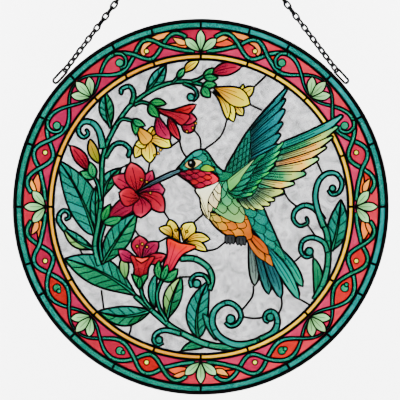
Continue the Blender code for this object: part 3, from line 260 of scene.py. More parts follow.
def stems():
    for path, startWidth, endWidth, cuts in (
            ([(-69.5, -40), (-72.5, -27), (-70.5, -14), (-68.3, 2), (-67.8, 18), (-67.3, 31), (-64.6, 42),
              (-60.4, 51), (-55, 60.5), (-48, 69.5), (-38, 77), (-28, 82.4), (-18, 85.3), (-8, 85.6),
              (1, 83.5)], 3.2, 2.4, (0.08, 0.2, 0.33, 0.47, 0.6, 0.72, 0.85)),
            ([(42, -91), (30, -95), (16, -96), (3, -93.8), (-9, -88.5), (-18, -83.5), (-26, -77.5),
              (-35, -69.5), (-45, -61)], 4.8, 3.0, (0.15, 0.35, 0.55, 0.72, 0.86)),
            ([(-41.5, -53), (-39.4, -62), (-34, -69.5)], 2.2, 2.2, ()),
            ([(-26, -49), (-29.8, -59), (-28.4, -69), (-23, -78)], 2.2, 2.2, ()),
            ([(-58, 56), (-53.5, 60), (-46.5, 58.5)], 2.0, 2.0, ()),
            ([(-45.5, 69.5), (-40.5, 71.6), (-34, 70)], 2.0, 2.0, ()),
            ([(-6, 86), (-1.5, 87.3), (3, 90)], 2.0, 2.0, ()),
            ([(-19, 85), (-14.5, 90)], 1.8, 1.8, ()),
            ([(-74, 22), (-70.3, 15), (-68.6, 4)], 2.0, 2.0, ()),
            ([(-67.5, -37), (-69, -24), (-65, -9)], 2.2, 2.2, (0.5,)),
            ([(78, -63.5), (84, -52), (87, -38), (86.6, -20), (82, -8)], 4.2, 3.6, (0.2, 0.45, 0.7)),
            ([(-14, -35.5), (-4.5, -35.5), (4.5, -41), (8, -49), (6, -57)], 4.0, 3.2, (0.25, 0.55))):
        paintBand("stemGreen", path, startWidth, endWidth, cuts=cuts)


def scrolls():
    for path, startWidth, endWidth, headRadius, head in (
            ([(84, -9), (78.1, -1.5), (71.1, 1), (64.8, -2.5), (63.4, -8.6), (67.6, -13), (73, -11),
              (72.4, -7.8)], 3.8, 1.8, 0.9, None),
            ([(84, -14), (78.6, 4), (80, 16), (85.6, 22.4), (92.6, 22.6), (96.6, 16.4), (94.6, 10), (90, 8.4),
              (87.4, 11.4)], 3.8, 2.2, 2.2, (90.2, 12.6)),
            ([(86.8, -31), (84.2, -24.4), (76.3, -21), (69.8, -23.6), (68.4, -30), (72, -34.4), (76.6, -32.8)],
             3.4, 2.2, 2.8, (74.2, -30.6)),
            ([(-12, 84.5), (-4.5, 81), (-2.4, 75.8), (-5.6, 72.6)], 2.4, 2.0, 2.6, (-6.8, 75)),
            ([(-14, -87), (-23.9, -84.4), (-30.6, -86.8), (-32.2, -91.4), (-29.4, -94.4), (-25.8, -93)],
             3.4, 2.0, 2.5, (-28.6, -91)),
            ([(6, -53), (3, -47.5), (-3, -46.5), (-7, -50.5), (-6, -55)], 2.6, 2.4, 2.8, (-2.8, -52.6)),
            ([(38.8, -92.4), (30, -94.4), (21.3, -93.6), (12.8, -88.8), (8.2, -80.9), (8.6, -73), (12.8, -67.8),
              (19.1, -65.6), (25, -68.9), (27.6, -74.8), (24.8, -80.2), (20, -81.6), (17, -79)], 4.8, 2.4, 3.1,
             (20.4, -76.9)),
            ([(40.5, -91), (49.2, -86.4), (52.4, -79.8), (51.4, -73.8), (47.9, -71.4), (44.4, -73.3),
              (43.8, -77.2), (46.4, -79)], 4.6, 2.0, 2.7, (47.6, -75.6)),
            ([(-67, 40), (-68.9, 50), (-73, 56.6), (-78.9, 58.4), (-83.2, 55.2), (-83.2, 50.2), (-80, 47.6),
              (-77, 49.8), (-78, 52.2)], 4.6, 1.8, 1.0, None),
            ([(-92.5, -16), (-96.8, -10), (-96.6, -5.4), (-93.6, -2.6), (-90.4, -4), (-90, -7.2), (-92, -8.4)],
             3.6, 1.8, 1.1, None),
            ([(-65, 33.5), (-60, 41.8), (-53.7, 43.6), (-48.6, 39.4), (-49.6, 34.6)], 2.6, 3.0, 0.9, None),
            ([(-47.5, 70.5), (-45.8, 77), (-48.5, 82.2), (-54, 80.6), (-54.4, 77.6)], 3.0, 2.6, 0.9, None)):
        paintScroll("scrollTeal", path, startWidth, endWidth, headRadius, head)


def leaves():
    for glasses, base, tip, width, bow, swell, veins in (
            (("leafTurquoise", "leafTeal"), (-72.5, -20), (-97.6, 32), 21, -0.05, 0.42, 6),
            (("leafTeal", "leafGreen"), (-71.2, -18), (-71.8, 14), 7, 0.02, 0.5, 3),
            (("leafGreen", "leafTeal"), (-44, -61), (-93.2, -35.5), 20, -0.06, 0.55, 6),
            (("leafGreen", "leafTeal"), (-34, -71), (-70, -71.5), 13.5, 0.10, 0.5, 4),
            (("leafTeal", "leafGreen"), (-67.3, -39), (-43.8, -4.2), 16, 0.02, 0.5, 5),
            (("leafTeal", "leafGreen"), (-66.4, 7.5), (-54.5, 26.5), 9, 0.12, 0.5, 3),
            (("leafTeal", "leafGreen"), (-61.6, 54), (-65.3, 78), 10, 0.04, 0.55, 4),
            (("leafTurquoise", "leafTeal"), (-37, 79), (-23.8, 97), 9, -0.03, 0.5, 3),
            (("leafLight", "leafGreen"), (-23, -77), (-13.4, -47.7), 12, 0.04, 0.52, 3),
            (("leafTurquoise", "leafTeal"), (-1.8, -90), (6, -50), 15, 0.10, 0.4, 5),
            (("leafTurquoise", "leafTeal"), (89.7, -30), (96, 5), 13.5, -0.03, 0.45, 4),
            (("leafLight", "leafTeal"), (-73.5, -29), (-94, -14.5), 8.5, 0.08, 0.5, 2)):
        paintLeaf(glasses, base, tip, width, bow, swell, veins, rib=width > 8)
    for glass, base, tip, width, bow, swell in (
            ("leafGold", (-69.5, 29.5), (-75.8, 46.5), 7, 0.05, 0.5),
            ("leafLight", (-51.2, -49.5), (-52.4, -32.6), 6.5, 0.04, 0.5),
            ("leafTeal", (-31.3, -70), (-30, -45), 5.6, 0.10, 0.5),
            ("leafGreen", (3.5, -94.6), (-13.6, -98.5), 6, -0.10, 0.4),
            ("leafTeal", (10.5, -91.5), (1.4, -73), 6, -0.05, 0.5),
            ("leafGreen", (78, -61), (77, -34.5), 6.5, -0.10, 0.5)):
        paintBlade(glass, base, tip, width, bow, swell, steps=14, kind="leaf", style="rib")


def sepals(base, *ends):
    # The green points of a calyx, each with its tip, width and bow
    for tip, width, bow in ends:
        paintBlade("calyxGreen", base, tip, width, bow, 0.45, kind="petal", style="rib")


def petals(glass, steps, *rows):
    for base, tip, width, bow, swell in rows:
        paintBlade(glass, base, tip, width, bow, swell, steps=steps, kind="petal", style="petal")


def tube(glass, points, axis, *lines, perSpan=4):
    paintArea(glass, points, axis, perSpan, kind="petal", lines=lines)


stamen = {"sag": (0.4, 0.6), "thread": 0.2, "bead": 0.95}


def stamens(throat, *ends):
    # Fine yellow threads with a bead at their ends
    for end in ends:
        middle = (np.array(throat) + np.array(end)) / 2 + stamen["sag"]
        path = [np.array(throat, float), middle, np.array(end, float)]
        shapes[-1]["lines"].append((path, stamen["thread"]))
        paintDisc("pollen", end, stamen["bead"], kind="bead", steps=10)


def redFlower():
    throat = (-43.6, 9)
    tube("redTube", [(-63.3, -7.6), (-60, 0), (-52, 6.5), (-42, 4), (-45, -2), (-55, -8)],
         ((-64, -8), (-42, 6)), ([(-60, -5), (-52, 0), (-44, 4)], 0.24), ([(-58, -6.5), (-50, -2.5)], 0.16))
    sepals((-67, -11), ((-61.6, 2), 5.5, 0.05), ((-53.5, -7.2), 6, -0.05))
    petals("redPetal", 12, (throat, (-60.5, 20.4), 12, -0.10, 0.55), (throat, (-33, 25), 9, -0.08, 0.55),
           (throat, (-48, 30.6), 14, -0.05, 0.55), (throat, (-24.4, 11.5), 13, 0.06, 0.62),
           (throat, (-24.8, -3.5), 12, 0.14, 0.62), (throat, (-41, -7.6), 13, 0.12, 0.62),
           ((-41.5, 6), (-56, 9.5), 13, 0.08, 0.55))
    stamens(throat, (-37, 17), (-40.5, 18.5), (-35, 14), (-34.5, 9.5))


def creamLily():
    throat = (-36, 46)
    petals("creamPetal", 10, (throat, (-33, 55), 7, -0.10, 0.5), (throat, (-21.6, 52.6), 8, 0.10, 0.6),
           (throat, (-20, 41), 10, 0.14, 0.55), (throat, (-45, 33.4), 8, -0.08, 0.55),
           (throat, (-34.8, 29.8), 10.5, 0.0, 0.5), (throat, (-45, 42.4), 7, 0.12, 0.5))
    tube("creamTube", [(-43.6, 55), (-33, 48.5), (-37, 42.5), (-41.6, 44.6)], ((-44, 56), (-36, 43)),
         ([(-42, 52), (-37, 46)], 0.2))
    sepals((-46.5, 60), ((-44.6, 48.8), 5, 0.08), ((-37.8, 55.4), 5, -0.06))
    stamens((-34.5, 43), (-29, 36.5), (-27.5, 39), (-31.5, 35))


def redTrumpetAbove():
    paintDisc("redPetal", (-8.4, 55), 4.6, kind="petal")
    petals("redPetal", 10, ((-20, 64), (-2.6, 59.6), 9, -0.05, 0.62),
           ((-24, 66.4), (-3, 70), 6.5, -0.14, 0.62), ((-22, 62), (-14, 45.4), 6, -0.05, 0.5),
           ((-29.5, 64.5), (-20.6, 46), 9, -0.14, 0.62))
    tube("redTube", [(-29, 67.4), (-20, 65.4), (-7.4, 62.6), (-13, 55.6), (-19.6, 60.4), (-27.4, 64)],
         ((-29, 67), (-8, 58)), ([(-26, 65.6), (-18, 63), (-11, 59)], 0.22),
         ([(-24, 66.2), (-16, 64.6)], 0.16))
    sepals((-35.4, 70.6), ((-23.4, 70.4), 5.5, 0.08), ((-28.4, 61), 6.5, -0.08))
    stamens((-10.5, 59), (-5.5, 54), (-9.5, 51.5), (-3.5, 57))


def creamTrumpet():
    petals("creamPetal", 11, ((19, 74), (29.4, 84), 5, -0.20, 0.6), ((24, 74), (36.4, 82), 7, -0.04, 0.6),
           ((22, 70), (29, 62.4), 6, 0.06, 0.6), ((8, 80), (22.6, 58), 7.5, 0.10, 0.7),
           ((7, 79), (18.4, 59.4), 6, 0.16, 0.65), ((8, 82), (34, 70), 13, 0.02, 0.62))
    sepals((1, 82), ((11, 83.6), 6, 0.08), ((6.4, 74.8), 6.5, -0.04))


def redTrumpetBelow():
    petals("redPetal", 11, ((-41, -36), (-42, -19.6), 12, 0.0, 0.6),
           ((-40, -36.6), (-28.8, -24), 9, 0.06, 0.6), ((-42, -36.6), (-56.4, -29.6), 8, 0.10, 0.6),
           ((-40, -35.4), (-23.6, -33), 8, -0.10, 0.55))
    stamens((-40, -35), (-43.5, -27), (-40, -25.5), (-36.8, -27.5))
    tube("redTube", [(-48, -33.4), (-40, -35.4), (-31.6, -34), (-35.6, -42), (-37.4, -50), (-45.8, -50),
                     (-45.6, -42)], ((-41, -51), (-40, -34)),
         ([(-42, -50), (-42.6, -42), (-44.6, -36)], 0.2), ([(-39.5, -50), (-38.5, -42), (-35.6, -36)], 0.2))
    tube("coralLip", [(-45.6, -33.8), (-40, -35), (-34.4, -34), (-40.6, -38.6)], ((-40, -39), (-40, -33)),
         perSpan=2)
    sepals((-42, -56.5), ((-47.4, -46), 5, -0.14), ((-36, -46), 5, 0.14), ((-41.6, -47.5), 3.6, 0.0))


def twoToneTrumpet():
    petals("creamPetal", 11, ((-14, -24), (-21.6, -8.6), 9, 0.08, 0.6),
           ((-12, -24), (-5, -10.6), 10.5, 0.06, 0.62), ((-19, -22), (-28.6, -14.4), 6.5, -0.18, 0.6),
           ((-11, -24.5), (6.4, -22.2), 7.5, 0.12, 0.55), ((-12, -25), (4.6, -30.4), 6, 0.10, 0.6))
    stamens((-13.5, -24), (-17, -16), (-13.4, -15), (-9.6, -17))
    tube("orangeTube", [(-22.8, -21.6), (-14, -24.6), (-3, -27.4), (-13, -33.6), (-20, -44), (-25.8, -41.4),
                        (-23, -32)], ((-23, -43), (-12, -24)),
         ([(-22.6, -42), (-19.6, -33), (-17.4, -25.6)], 0.2),
         ([(-21.4, -42.6), (-16, -33), (-9.6, -27)], 0.2), ([(-24, -40), (-22, -31), (-20.4, -24)], 0.16))
    sepals((-26.5, -50.5), ((-28.2, -36.4), 5.5, 0.14), ((-15.6, -42.4), 6.5, -0.10),
           ((-22.6, -39.6), 4.6, 0.0))


def buds():
    petals("redPetal", 10, ((7, 91.2), (28, 95.8), 9, 0.04, 0.5))
    petals("creamPetal", 10, ((-12, 92), (-1.2, 100), 6, 0.04, 0.5))
    petals("redPetal", 10, ((-77, 25.6), (-89.4, 42), 8.5, -0.03, 0.45))
    sepals((2, 88.6), ((9, 94.8), 5, 0.0), ((12, 88), 5, 0.0))
    sepals((-16, 88), ((-11, 95), 4.5, 0.0))
    sepals((-73, 19.6), ((-82.6, 24), 6, 0.0), ((-75.6, 30.6), 6, 0.0))


def backWing():
    paintFan(("backFeather",),
             [(32.8, 52.8), (33.4, 51.2), (33.8, 47.5), (33.8, 42.8), (33.4, 38.1), (32.8, 33.4), (32, 27)],
             [(57.7, 81.1), (56.6, 74), (55.6, 67.1), (54.6, 58.2), (52.7, 50.6), (51.6, 43.1), (55, 36)],
             "feather", 0.02, roundness=0.42)
    outline = [(16.6, 25), (24, 39), (32.8, 52.8), (34.2, 47), (34.2, 41), (34.4, 33), (30, 26), (22, 20)]
    paintScales("backCovert", outline, ((18, 24), (34, 50)), [(15, 27), (23, 42), (31, 56)],
                [(27, 18), (34, 30), (38, 42)], 7, 5, 0.35)


def tail():
    for glass, root, tip, width in (
            ("tailGrey", (33, -22), (37, -54), 7), ("tailDark", (36, -24), (46.6, -60), 7.4),
            ("tailDark", (40, -26), (55, -62.6), 7.8), ("tailBright", (48, -24), (69.8, -54.6), 7.6),
            ("tailBright", (40.5, -22), (67.4, -63.6), 7.6)):
        paintBlade(glass, root, tip, width, 0.03, 0.62, 0.55, steps=14, kind="feather", style="feather")
    for root, tip, width in (((33, -20), (49.6, -41), 6), ((30, -18), (44, -37.4), 6.5),
                             ((32, -17), (46.8, -33), 6)):
        paintBlade("underTail", root, tip, width, 0.02, 0.55, 0.7, kind="smallFeather", style="rib")
    paintScales("backTeal", [(26, 4), (41, 1), (46.6, -9), (51.6, -20), (58.2, -36.6), (49, -29.6),
                             (40, -21), (33, -12)], ((28, 3), (56, -36)), [(26, 3), (34, -13), (50, -34)],
                [(44, 6), (52, -10), (64, -36)], 6, 2, 0.2)


def body():
    paintScales("belly", [(2, -3.6), (5.6, -8.4), (11, -15), (17.6, -19.6), (26, -22.6), (35, -21.5),
                          (34, -12), (29, -4), (18, -5)], ((4, -6), (34, -18)),
                [(8, 0), (20, -3), (38, -9)], [(2, -9), (14, -20), (34, -27)], 5, 3, 0.1)
    paintScales("sideGreen", [(13, 19), (10, 8), (6.2, -1), (12, -5), (20, -9.5), (28.5, -10.8), (30, -3),
                              (24, 6), (20, 16)], ((14, 18), (24, -10)), [(12, 20), (6, 2), (10, -8)],
                [(22, 20), (29, 3), (32, -12)], 5, 3, 0.3)
    for root, tip, width in (((2, 14), (5.8, -9.2), 6.5), ((5, 16), (7, -4.4), 7), ((8, 17), (10.4, -1.6), 8),
                             ((11, 19), (12.6, 3.4), 5.5), ((10, 20), (13.4, 8.6), 5)):
        paintBlade("chestCream", root, tip, width, -0.05, 0.55, 0.8, kind="smallFeather", style="rib")
    paintArea("chestCream", [(-3.4, 12.6), (-0.8, 6), (1.6, -0.5), (5, -7), (5, 4), (9, 12), (12, 17)],
              ((2, 15), (4, -6)), kind="scale", lines=[([(-1, 9), (2, 2), (4, -4)], 0.18)])
    paintScales("throat", [(-16.6, 23.6), (-8, 16.6), (-3, 12.6), (3, 13.4), (12.8, 18.4), (6, 24.4),
                           (-4, 25.6)], ((-15, 22), (12, 19)), [(-17, 26), (-4, 27), (12, 24)],
                [(-17, 20), (-6, 11), (12, 12)], 6, 4, 0.15)
    paintScales("headGreen", [(-17, 24), (-13, 30), (-9, 34.4), (-4.5, 38), (1, 39.4), (5, 37), (8, 32.4),
                              (11.8, 27.4), (16, 24.4), (22, 22.6), (19, 18.6), (13.4, 17.4), (12, 20.4),
                              (6, 24.4), (-6, 25.6)], ((-10, 33), (20, 20)),
                [(-17, 24), (-8, 24), (6, 24), (14, 16)], [(-12, 38), (0, 44), (14, 36), (24, 22)], 7, 3,
                0.1)
    paintArea("cheekGold", [(-0.6, 25.6), (4, 29), (9.6, 25.4), (5, 24)], ((-1, 27), (9, 25)), perSpan=3,
              kind="scale")
    paintArea("eyePatch", [(-11, 28.2), (-8.2, 31.8), (-4, 32.4), (0.8, 31), (-1.6, 28.4), (-4.4, 26.6),
                           (-8, 26.2)], ((-11, 28), (1, 31)), perSpan=3, kind="scale")
    paintDisc("eyeBlack", (-6.1, 29.5), 2.5, kind="bead")
    paintDisc("glint", (-6.9, 30.3), 0.55, kind="none", steps=8)
    paintBlade("billGrey", (-12, 25.8), (-45, 9.6), 3.4, -0.02, 0.35, 0.8, steps=12, style="rib")
    for x, y in ((20, -22.4), (27.6, -23.2)):
        claws = [(x - 2.8, y + 2.8), (x - 3.5, y - 0.4), (x - 2.4, y - 3), (x - 1.1, y - 2.1), (x, y - 3.6),
                 (x + 1.3, y - 2.2), (x + 2.7, y - 3.2), (x + 3.4, y - 0.6), (x + 2.8, y + 2.8)]
        paintArea("footGrey", claws, ((x, y + 3), (x, y - 3)), kind="bead",
                  lines=[([(x + shift, y + 1.6), (x + shift * 1.2, y - 1.6)], 0.3) for shift in (-1.2, 1.2)])


def frontWing():
    underlay = [(18, 12), (30, 26), (42, 36), (54, 42), (54, 34), (48, 26), (42, 16), (40, 8), (28, 4)]
    paintArea("lesserCovert", underlay, ((18, 12), (54, 42)), kind="scale")
    paintFan(("primaryTeal", "primarySage", "primary", "primaryPeach", "primary", "primarySage", "primary",
              "primarySage"),
             [(55.1, 44.3), (54.9, 39.1), (53.3, 35), (51.2, 30.7), (50.6, 27.6), (47, 24.5), (41.7, 19.2),
              (39.7, 16.1), (38.6, 11.9)],
             [(95.4, 63), (92.6, 55.6), (89, 48.6), (84.6, 41.4), (78.8, 34.2), (70.4, 24.4), (63, 17.3),
              (56.2, 12), (50.3, 6)], "feather", -0.02, roundness=0.45)
    paintFan(("secondary",),
             [(38.6, 13), (38.3, 11.4), (36.9, 9.2), (34.5, 7.3), (31, 5.9), (28.6, 5.4), (25.3, 5.9)],
             [(56.2, 12), (50.7, 5.2), (47.6, 2.2), (43.3, -0.8), (37.4, -2.2), (33, -1.2), (28.6, -0.2)],
             "smallFeather", 0.0, cut=0.86)
    paintFan(("medianCovert",),
             [(43.6, 36.1), (41.2, 31.8), (37.3, 26), (34.9, 22.7), (33.5, 20.3), (32, 15.9), (30.1, 12.1),
              (26.3, 10.2), (24, 9)],
             [(56.2, 44.6), (54, 38.6), (52.4, 34), (50.4, 29.4), (47, 24.2), (41.6, 19.2), (38.6, 14.6),
              (35.6, 9.6), (29.6, 5.6)], "smallFeather", 0.0, cut=0.84)
    paintFan(("lesserCovert",),
             [(39.7, 35.2), (32.5, 27.5), (28.2, 22.3), (25.8, 16.9), (23.4, 12.6), (21, 10.7), (19.4, 9.6)],
             [(44.4, 37.2), (38.2, 29.4), (35.4, 24.8), (33.6, 20.4), (31.6, 15.4), (28.8, 10.8), (25, 7)],
             "smallFeather", 0.0, cut=0.8, second=0)
    paintArea("shoulderGreen", [(18.1, 16.9), (18.8, 18.8), (26.3, 24.6), (37.3, 33.2), (33.5, 27.9),
                                (28.7, 21.2), (26.3, 16.9), (22.4, 12.6), (19.5, 11.1)],
              ((19, 13), (37, 33)), kind="scale", lines=[([(19.6, 17.6), (26, 22.8), (34, 30)], 0.22)])


# The border: two vines that cross between rosettes, green beads and cream dots

vine = {"width": 2.7, "thinEnd": 0.45, "swing": 6.7, "middle": 113.4, "crossings": (13.4, 23.5, 37.4),
        "ends": (2.2, 44.2), "loopFoot": 3.4, "outerStart": 4.8, "steps": 14}
curl = {"turns": ((2, 7.4), (-40, 6.2), (-90, 4.9), (-150, 4.2), (-205, 3.7)), "width": 2.5, "endWidth": 2.0}
bead = {"at": (113, 29.4), "radius": 2.7, "sideReach": 2.6, "sideRadius": 1.5}
dot = {"at": (112.7, 19.2), "radius": 1.7, "tail": 3.4, "tailTurn": 60, "tailRadius": 0.25}
rosette = {"foot": 1.2, "sideReach": 14.4, "reach": 15.4, "cardinalSpread": 49, "spread": 38.5, "width": 6.2}


def sectorWay(sector):
    return 1 if sector % 2 == 0 else -1


def sectorTurn(sector):
    return 90 * ((sector + 1) // 2)


def inSector(sector, radius, angle):
    # A place in one of the eight sectors, each the mirror image of the next
    return onCircle(radius, 90 + sectorTurn(sector) + sectorWay(sector) * angle)


def vineSwing(angle, outerEnd):
    first, middle, last = vine["crossings"]
    start, end = vine["ends"]
    if angle < first and outerEnd:
        return -math.sin(math.pi * (first - angle) / (first - vine["loopFoot"]))
    if angle < first:
        return -math.sin(0.5 * math.pi * (first - angle) / (first - start))
    if angle < middle:
        return math.sin(math.pi * (angle - first) / (middle - first))
    if angle < last:
        return -math.sin(math.pi * (angle - middle) / (last - middle))
    return math.sin(0.5 * math.pi * (angle - last) / (end - last))


def vinePath(sector, side, start, end):
    path = []
    for i in range(vine["steps"] + 1):
        angle = start + (end - start) * i / vine["steps"]
        radius = vine["middle"] + side * vine["swing"] * vineSwing(angle, side < 0)
        path.append(inSector(sector, radius, angle))
    return path


def paintBorderLeaves(sector):
    # A hook of amber glass along the outer edge, and two small leaves beside each cardinal rosette
    if sector in (5, 6):
        hook = ((120.6, 9.6), (119.6, 14), (117.4, 18.4), (113.6, 20.6), (110.4, 20.2))
        paintBand("fieldAmber", [inSector(sector, *place) for place in hook], 5.4, 2.4, kind="vine")
    for glass, base, tip, width in (("fieldOrange", (110.6, 4.2), (113.4, 11.8), 5.6),
                                    ("fieldAmber", (112.4, 4.0), (117.4, 9.4), 4.4)):
        paintBlade(glass, inSector(sector, *base), inSector(sector, *tip), width, 0.1, 0.5, kind="rosette")


def paintVines(sector):
    # Two vines, each in three parts that pass over and under the other's
    start, end = vine["ends"]
    first, middle, last = vine["crossings"]
    breaks = (start, (first + middle) / 2, (middle + last) / 2, end)
    for over in (False, True):
        for i in range(3):
            side = 1 if (i + sector + over) % 2 == 0 else -1
            begin = vine["outerStart"] if i == 0 and side < 0 else breaks[i]
            thin = vine["thinEnd"] if i == 2 else 1
            paintBand("vineGreen", vinePath(sector, side, begin, breaks[i + 1]), vine["width"],
                      vine["width"] * thin, kind="vine", perSpan=1, key=("vine", sector, side))


def paintBeads(sector):
    # A green bead, with a curl of vine round it or a small one beside it, and a cream dot with a tail
    way = sectorWay(sector)
    across = sectorTurn(sector) + way * bead["at"][1]
    beadAt = inSector(sector, *bead["at"])
    if sector > 3:
        path = [beadAt + onCircle(reach, across + 90 + way * turn) for turn, reach in curl["turns"]]
        paintBand("vineGreen", path, curl["width"], curl["endWidth"], kind="vine")
    paintDisc("beadGreen", beadAt, bead["radius"], kind="bead")
    if sector < 4:
        paintDisc("beadGreen", beadAt + onCircle(bead["sideReach"], across), bead["sideRadius"], kind="bead",
                  steps=12)
    dotAt = inSector(sector, *dot["at"])
    tail = dotAt + onCircle(dot["tail"], sectorTurn(sector) + way * dot["tailTurn"])
    shapes[-1]["lines"].append(([dotAt, tail], dot["tailRadius"]))
    paintDisc("creamDot", dotAt, dot["radius"], kind="bead", steps=12)


def paintRosette(sector):
    lean = 45 * sector
    base = onCircle(rings["field"] + rosette["foot"], lean)
    spreadAngle = rosette["cardinalSpread"] if sector % 2 == 0 else rosette["spread"]
    for side in (-1, 1, 0):
        reach = rosette["sideReach"] if side else rosette["reach"]
        tip = base + onCircle(reach, lean + side * spreadAngle)
        paintBlade("rosetteGreen", base, tip, rosette["width"], 0.0, 0.6, 0.8, steps=12, kind="rosette",
                   style="rib")


def border():
    outer, inner = circleLoop(rings["teal"], ringSteps), circleLoop(rings["field"], ringSteps)[::-1]
    paint("field", [outer, inner], ((0, 0), (1, 0)), kind="field", key="field")
    for sector in range(8):
        paintBorderLeaves(sector)
        paintVines(sector)
    for sector in range(8):
        paintBeads(sector)
        paintRosette(sector)


def roundRings():
    tealJoints = (0, 15.5, 28.7, 44.8, 60.7, 69.9, 90, 108.3, 118.7, 135.1, 151.3, 180)
    yellowJoints = (0, 18.1, 29.8, 44.2, 70.2, 90, 119.3, 135.3, 161.8, 180)
    for glass, joints, outer, inner in (("tealRing", tealJoints, "outer", "teal"),
                                        ("yellowRing", yellowJoints, "field", "picture")):
        partings = []
        for angle in joints:
            for side in ((1,) if angle in (0, 180) else (1, -1)):
                partings.append([onCircle(rings[inner] - 1, side * angle),
                                 onCircle(rings[outer] + 1, side * angle)])
        loops = [circleLoop(rings[outer], ringSteps), circleLoop(rings[inner], ringSteps)[::-1]]
        paint(glass, loops, ((0, 0), (1, 0)), kind="ring", partings=partings, partWidth=2.0)


def clearGlass():
    partings = [
        [(-48.2, 38), (-48, 30)], [(-34.9, 30.4), (-36.4, 20)], [(-21, 41), (-15.4, 44.8), (-14, 47)],
        [(-14.6, 45), (-12.6, 38), (-9, 33)], [(-5, 52.8), (-0.6, 47), (0, 39)],
        [(18, 60), (13.5, 48), (2, 39)], [(33.6, 70), (42, 66)], [(36, 81.6), (46, 91)],
        [(-55, 26.2), (-48, 30)],
        [(-25, -3.6), (-21.6, -9)], [(-5, -11), (3, -4)], [(4, -30), (11, -28.6), (19, -22)],
        [(-29, -24.2), (-22, -20.6)], [(-45.6, -8), (-46, -14), (-42, -20)], [(56, 12), (60, 5), (66, 0)],
        [(78, 34), (84, 21)], [(73.4, -13), (80, -22)], [(69, -33), (64, -37.6), (58, -39.6)],
        [(68, -63.4), (76, -68)], [(55, -62), (55.4, -68), (52, -76)], [(36, -54), (35, -62), (26, -73)],
        [(28, -75), (36, -76.4), (44, -75.6)], [(-68, -57), (-66.4, -70)],
        [(-50, -77), (-47.6, -82), (-49.6, -89)], [(-86.4, -20), (-84, -26), (-78.6, -38)],
        [(-14, -48), (-5, -48)], [(-89, 41), (-92, 44)], [(-13, -98), (-16, -101)],
        [(-55, -28), (-66, -20)], [(-24, 96), (-22, 100)], [(28, 95.6), (31, 97.6)], [(57, 81), (59, 83.6)]]
    partings = [smooth(line, 4) if len(line) > 2 else [np.array(p, float) for p in line] for line in partings]
    paint("clear", [circleLoop(rings["picture"], ringSteps)], ((0, 0), (1, 0)), kind="clear",
          partings=partings, partWidth=1.7)


def drawPicture():
    border()
    clearGlass()
    leaves()
    stems()
    scrolls()
    creamLily()
    redTrumpetAbove()
    creamTrumpet()
    redTrumpetBelow()
    twoToneTrumpet()
    buds()
    redFlower()
    roundRings()
    backWing()
    tail()
    body()
    frontWing()
    print("picture drawn,", len(shapes), "glass shapes")


# Plane map: the shapes cut each other into pieces, and leads run between the pieces

def turnsRound(points, loops):
    turns = np.zeros(len(points), int)
    x, y = points[:, 0][:, None], points[:, 1][:, None]
    for loop in loops:
        after = np.roll(loop, -1, axis=0)
        x1, y1, x2, y2 = loop[:, 0], loop[:, 1], after[:, 0], after[:, 1]
        turn = (x2 - x1) * (y - y1) - (x - x1) * (y2 - y1)
        turns += ((y1 <= y) & (y2 > y) & (turn > 0)).sum(1) - ((y1 > y) & (y2 <= y) & (turn < 0)).sum(1)
    return turns != 0


def coveredBy(points, shape):
    # Which points lie inside a shape; its box rules most of them out first
    corners = np.concatenate(shape["loops"])
    near = np.all((points >= corners.min(0)) & (points <= corners.max(0)), axis=1)
    covered = np.zeros(len(points), bool)
    if near.any():
        covered[near] = turnsRound(points[near], shape["loops"])
    return covered


def topShapes(points, firstShape=0):
    top = np.full(len(points), -1)
    for number in range(firstShape, len(shapes)):
        top[coveredBy(points, shapes[number])] = number
    return top


mapLimits = {"merge": 0.02, "smallest": 1e-6}


def triangulate(points, edges):
    found = delaunay_2d_cdt([Vector(point) for point in points], edges, [], 0, mapLimits["merge"], True)
    places = np.array([tuple(point) for point in found[0]])
    sources = {tuple(sorted(edge)): source for edge, source in zip(found[1], found[4]) if source}
    triangles = []
    for corners in found[2]:
        for k in range(1, len(corners) - 1):
            a, b, c = corners[0], corners[k], corners[k + 1]
            area = np.cross(places[b] - places[a], places[c] - places[a])
            if abs(area) > mapLimits["smallest"]:
                triangles.append((a, b, c) if area > 0 else (a, c, b))
    return places, triangles, sources


def planeMap():
    points, edges, parted = [], [], {}
    for number, shape in enumerate(shapes):
        for loop in shape["loops"]:
            start = len(points)
            points.extend(loop)
            edges.extend((start + i, start + (i + 1) % len(loop)) for i in range(len(loop)))
        for line in shape["partings"]:
            start = len(points)
            points.extend(line)
            for i in range(len(line) - 1):
                parted[len(edges)] = number
                edges.append((start + i, start + i + 1))
    places, triangles, sources = triangulate(points, edges)
    middles = places[np.array(triangles)].mean(axis=1)
    top = topShapes(middles)
    print("plane map,", len(triangles), "triangles")
    sides = {}
    for number, (a, b, c) in enumerate(triangles):
        for edge in ((a, b), (b, c), (c, a)):
            sides.setdefault(tuple(sorted(edge)), []).append(number)
    return places, triangles, top, sides, sources, parted


def leadLines(places, top, sides, sources, parted):
    # Every edge that carries a lead, with the lead's width
    leads = {}
    for edge, owners in sides.items():
        shown = [top[owner] for owner in owners]
        if len(shown) == 1 or shown[0] < 0 or shown[-1] < 0:
            if max(shown) >= 0:
                leads[edge] = outermostLead
            continue
        low, high = shapes[min(shown)], shapes[max(shown)]
        if low["key"] != high["key"]:
            if "none" in (low["kind"], high["kind"]):
                continue
            inner, outline = leadWidths[high["kind"]]
            leads[edge] = outline if low["kind"] in ("clear", "field", "ring") else inner
            continue
        for source in sources.get(edge, ()):
            if source in parted and parted[source] in shown:
                leads[edge] = shapes[parted[source]]["partWidth"]
    return leads


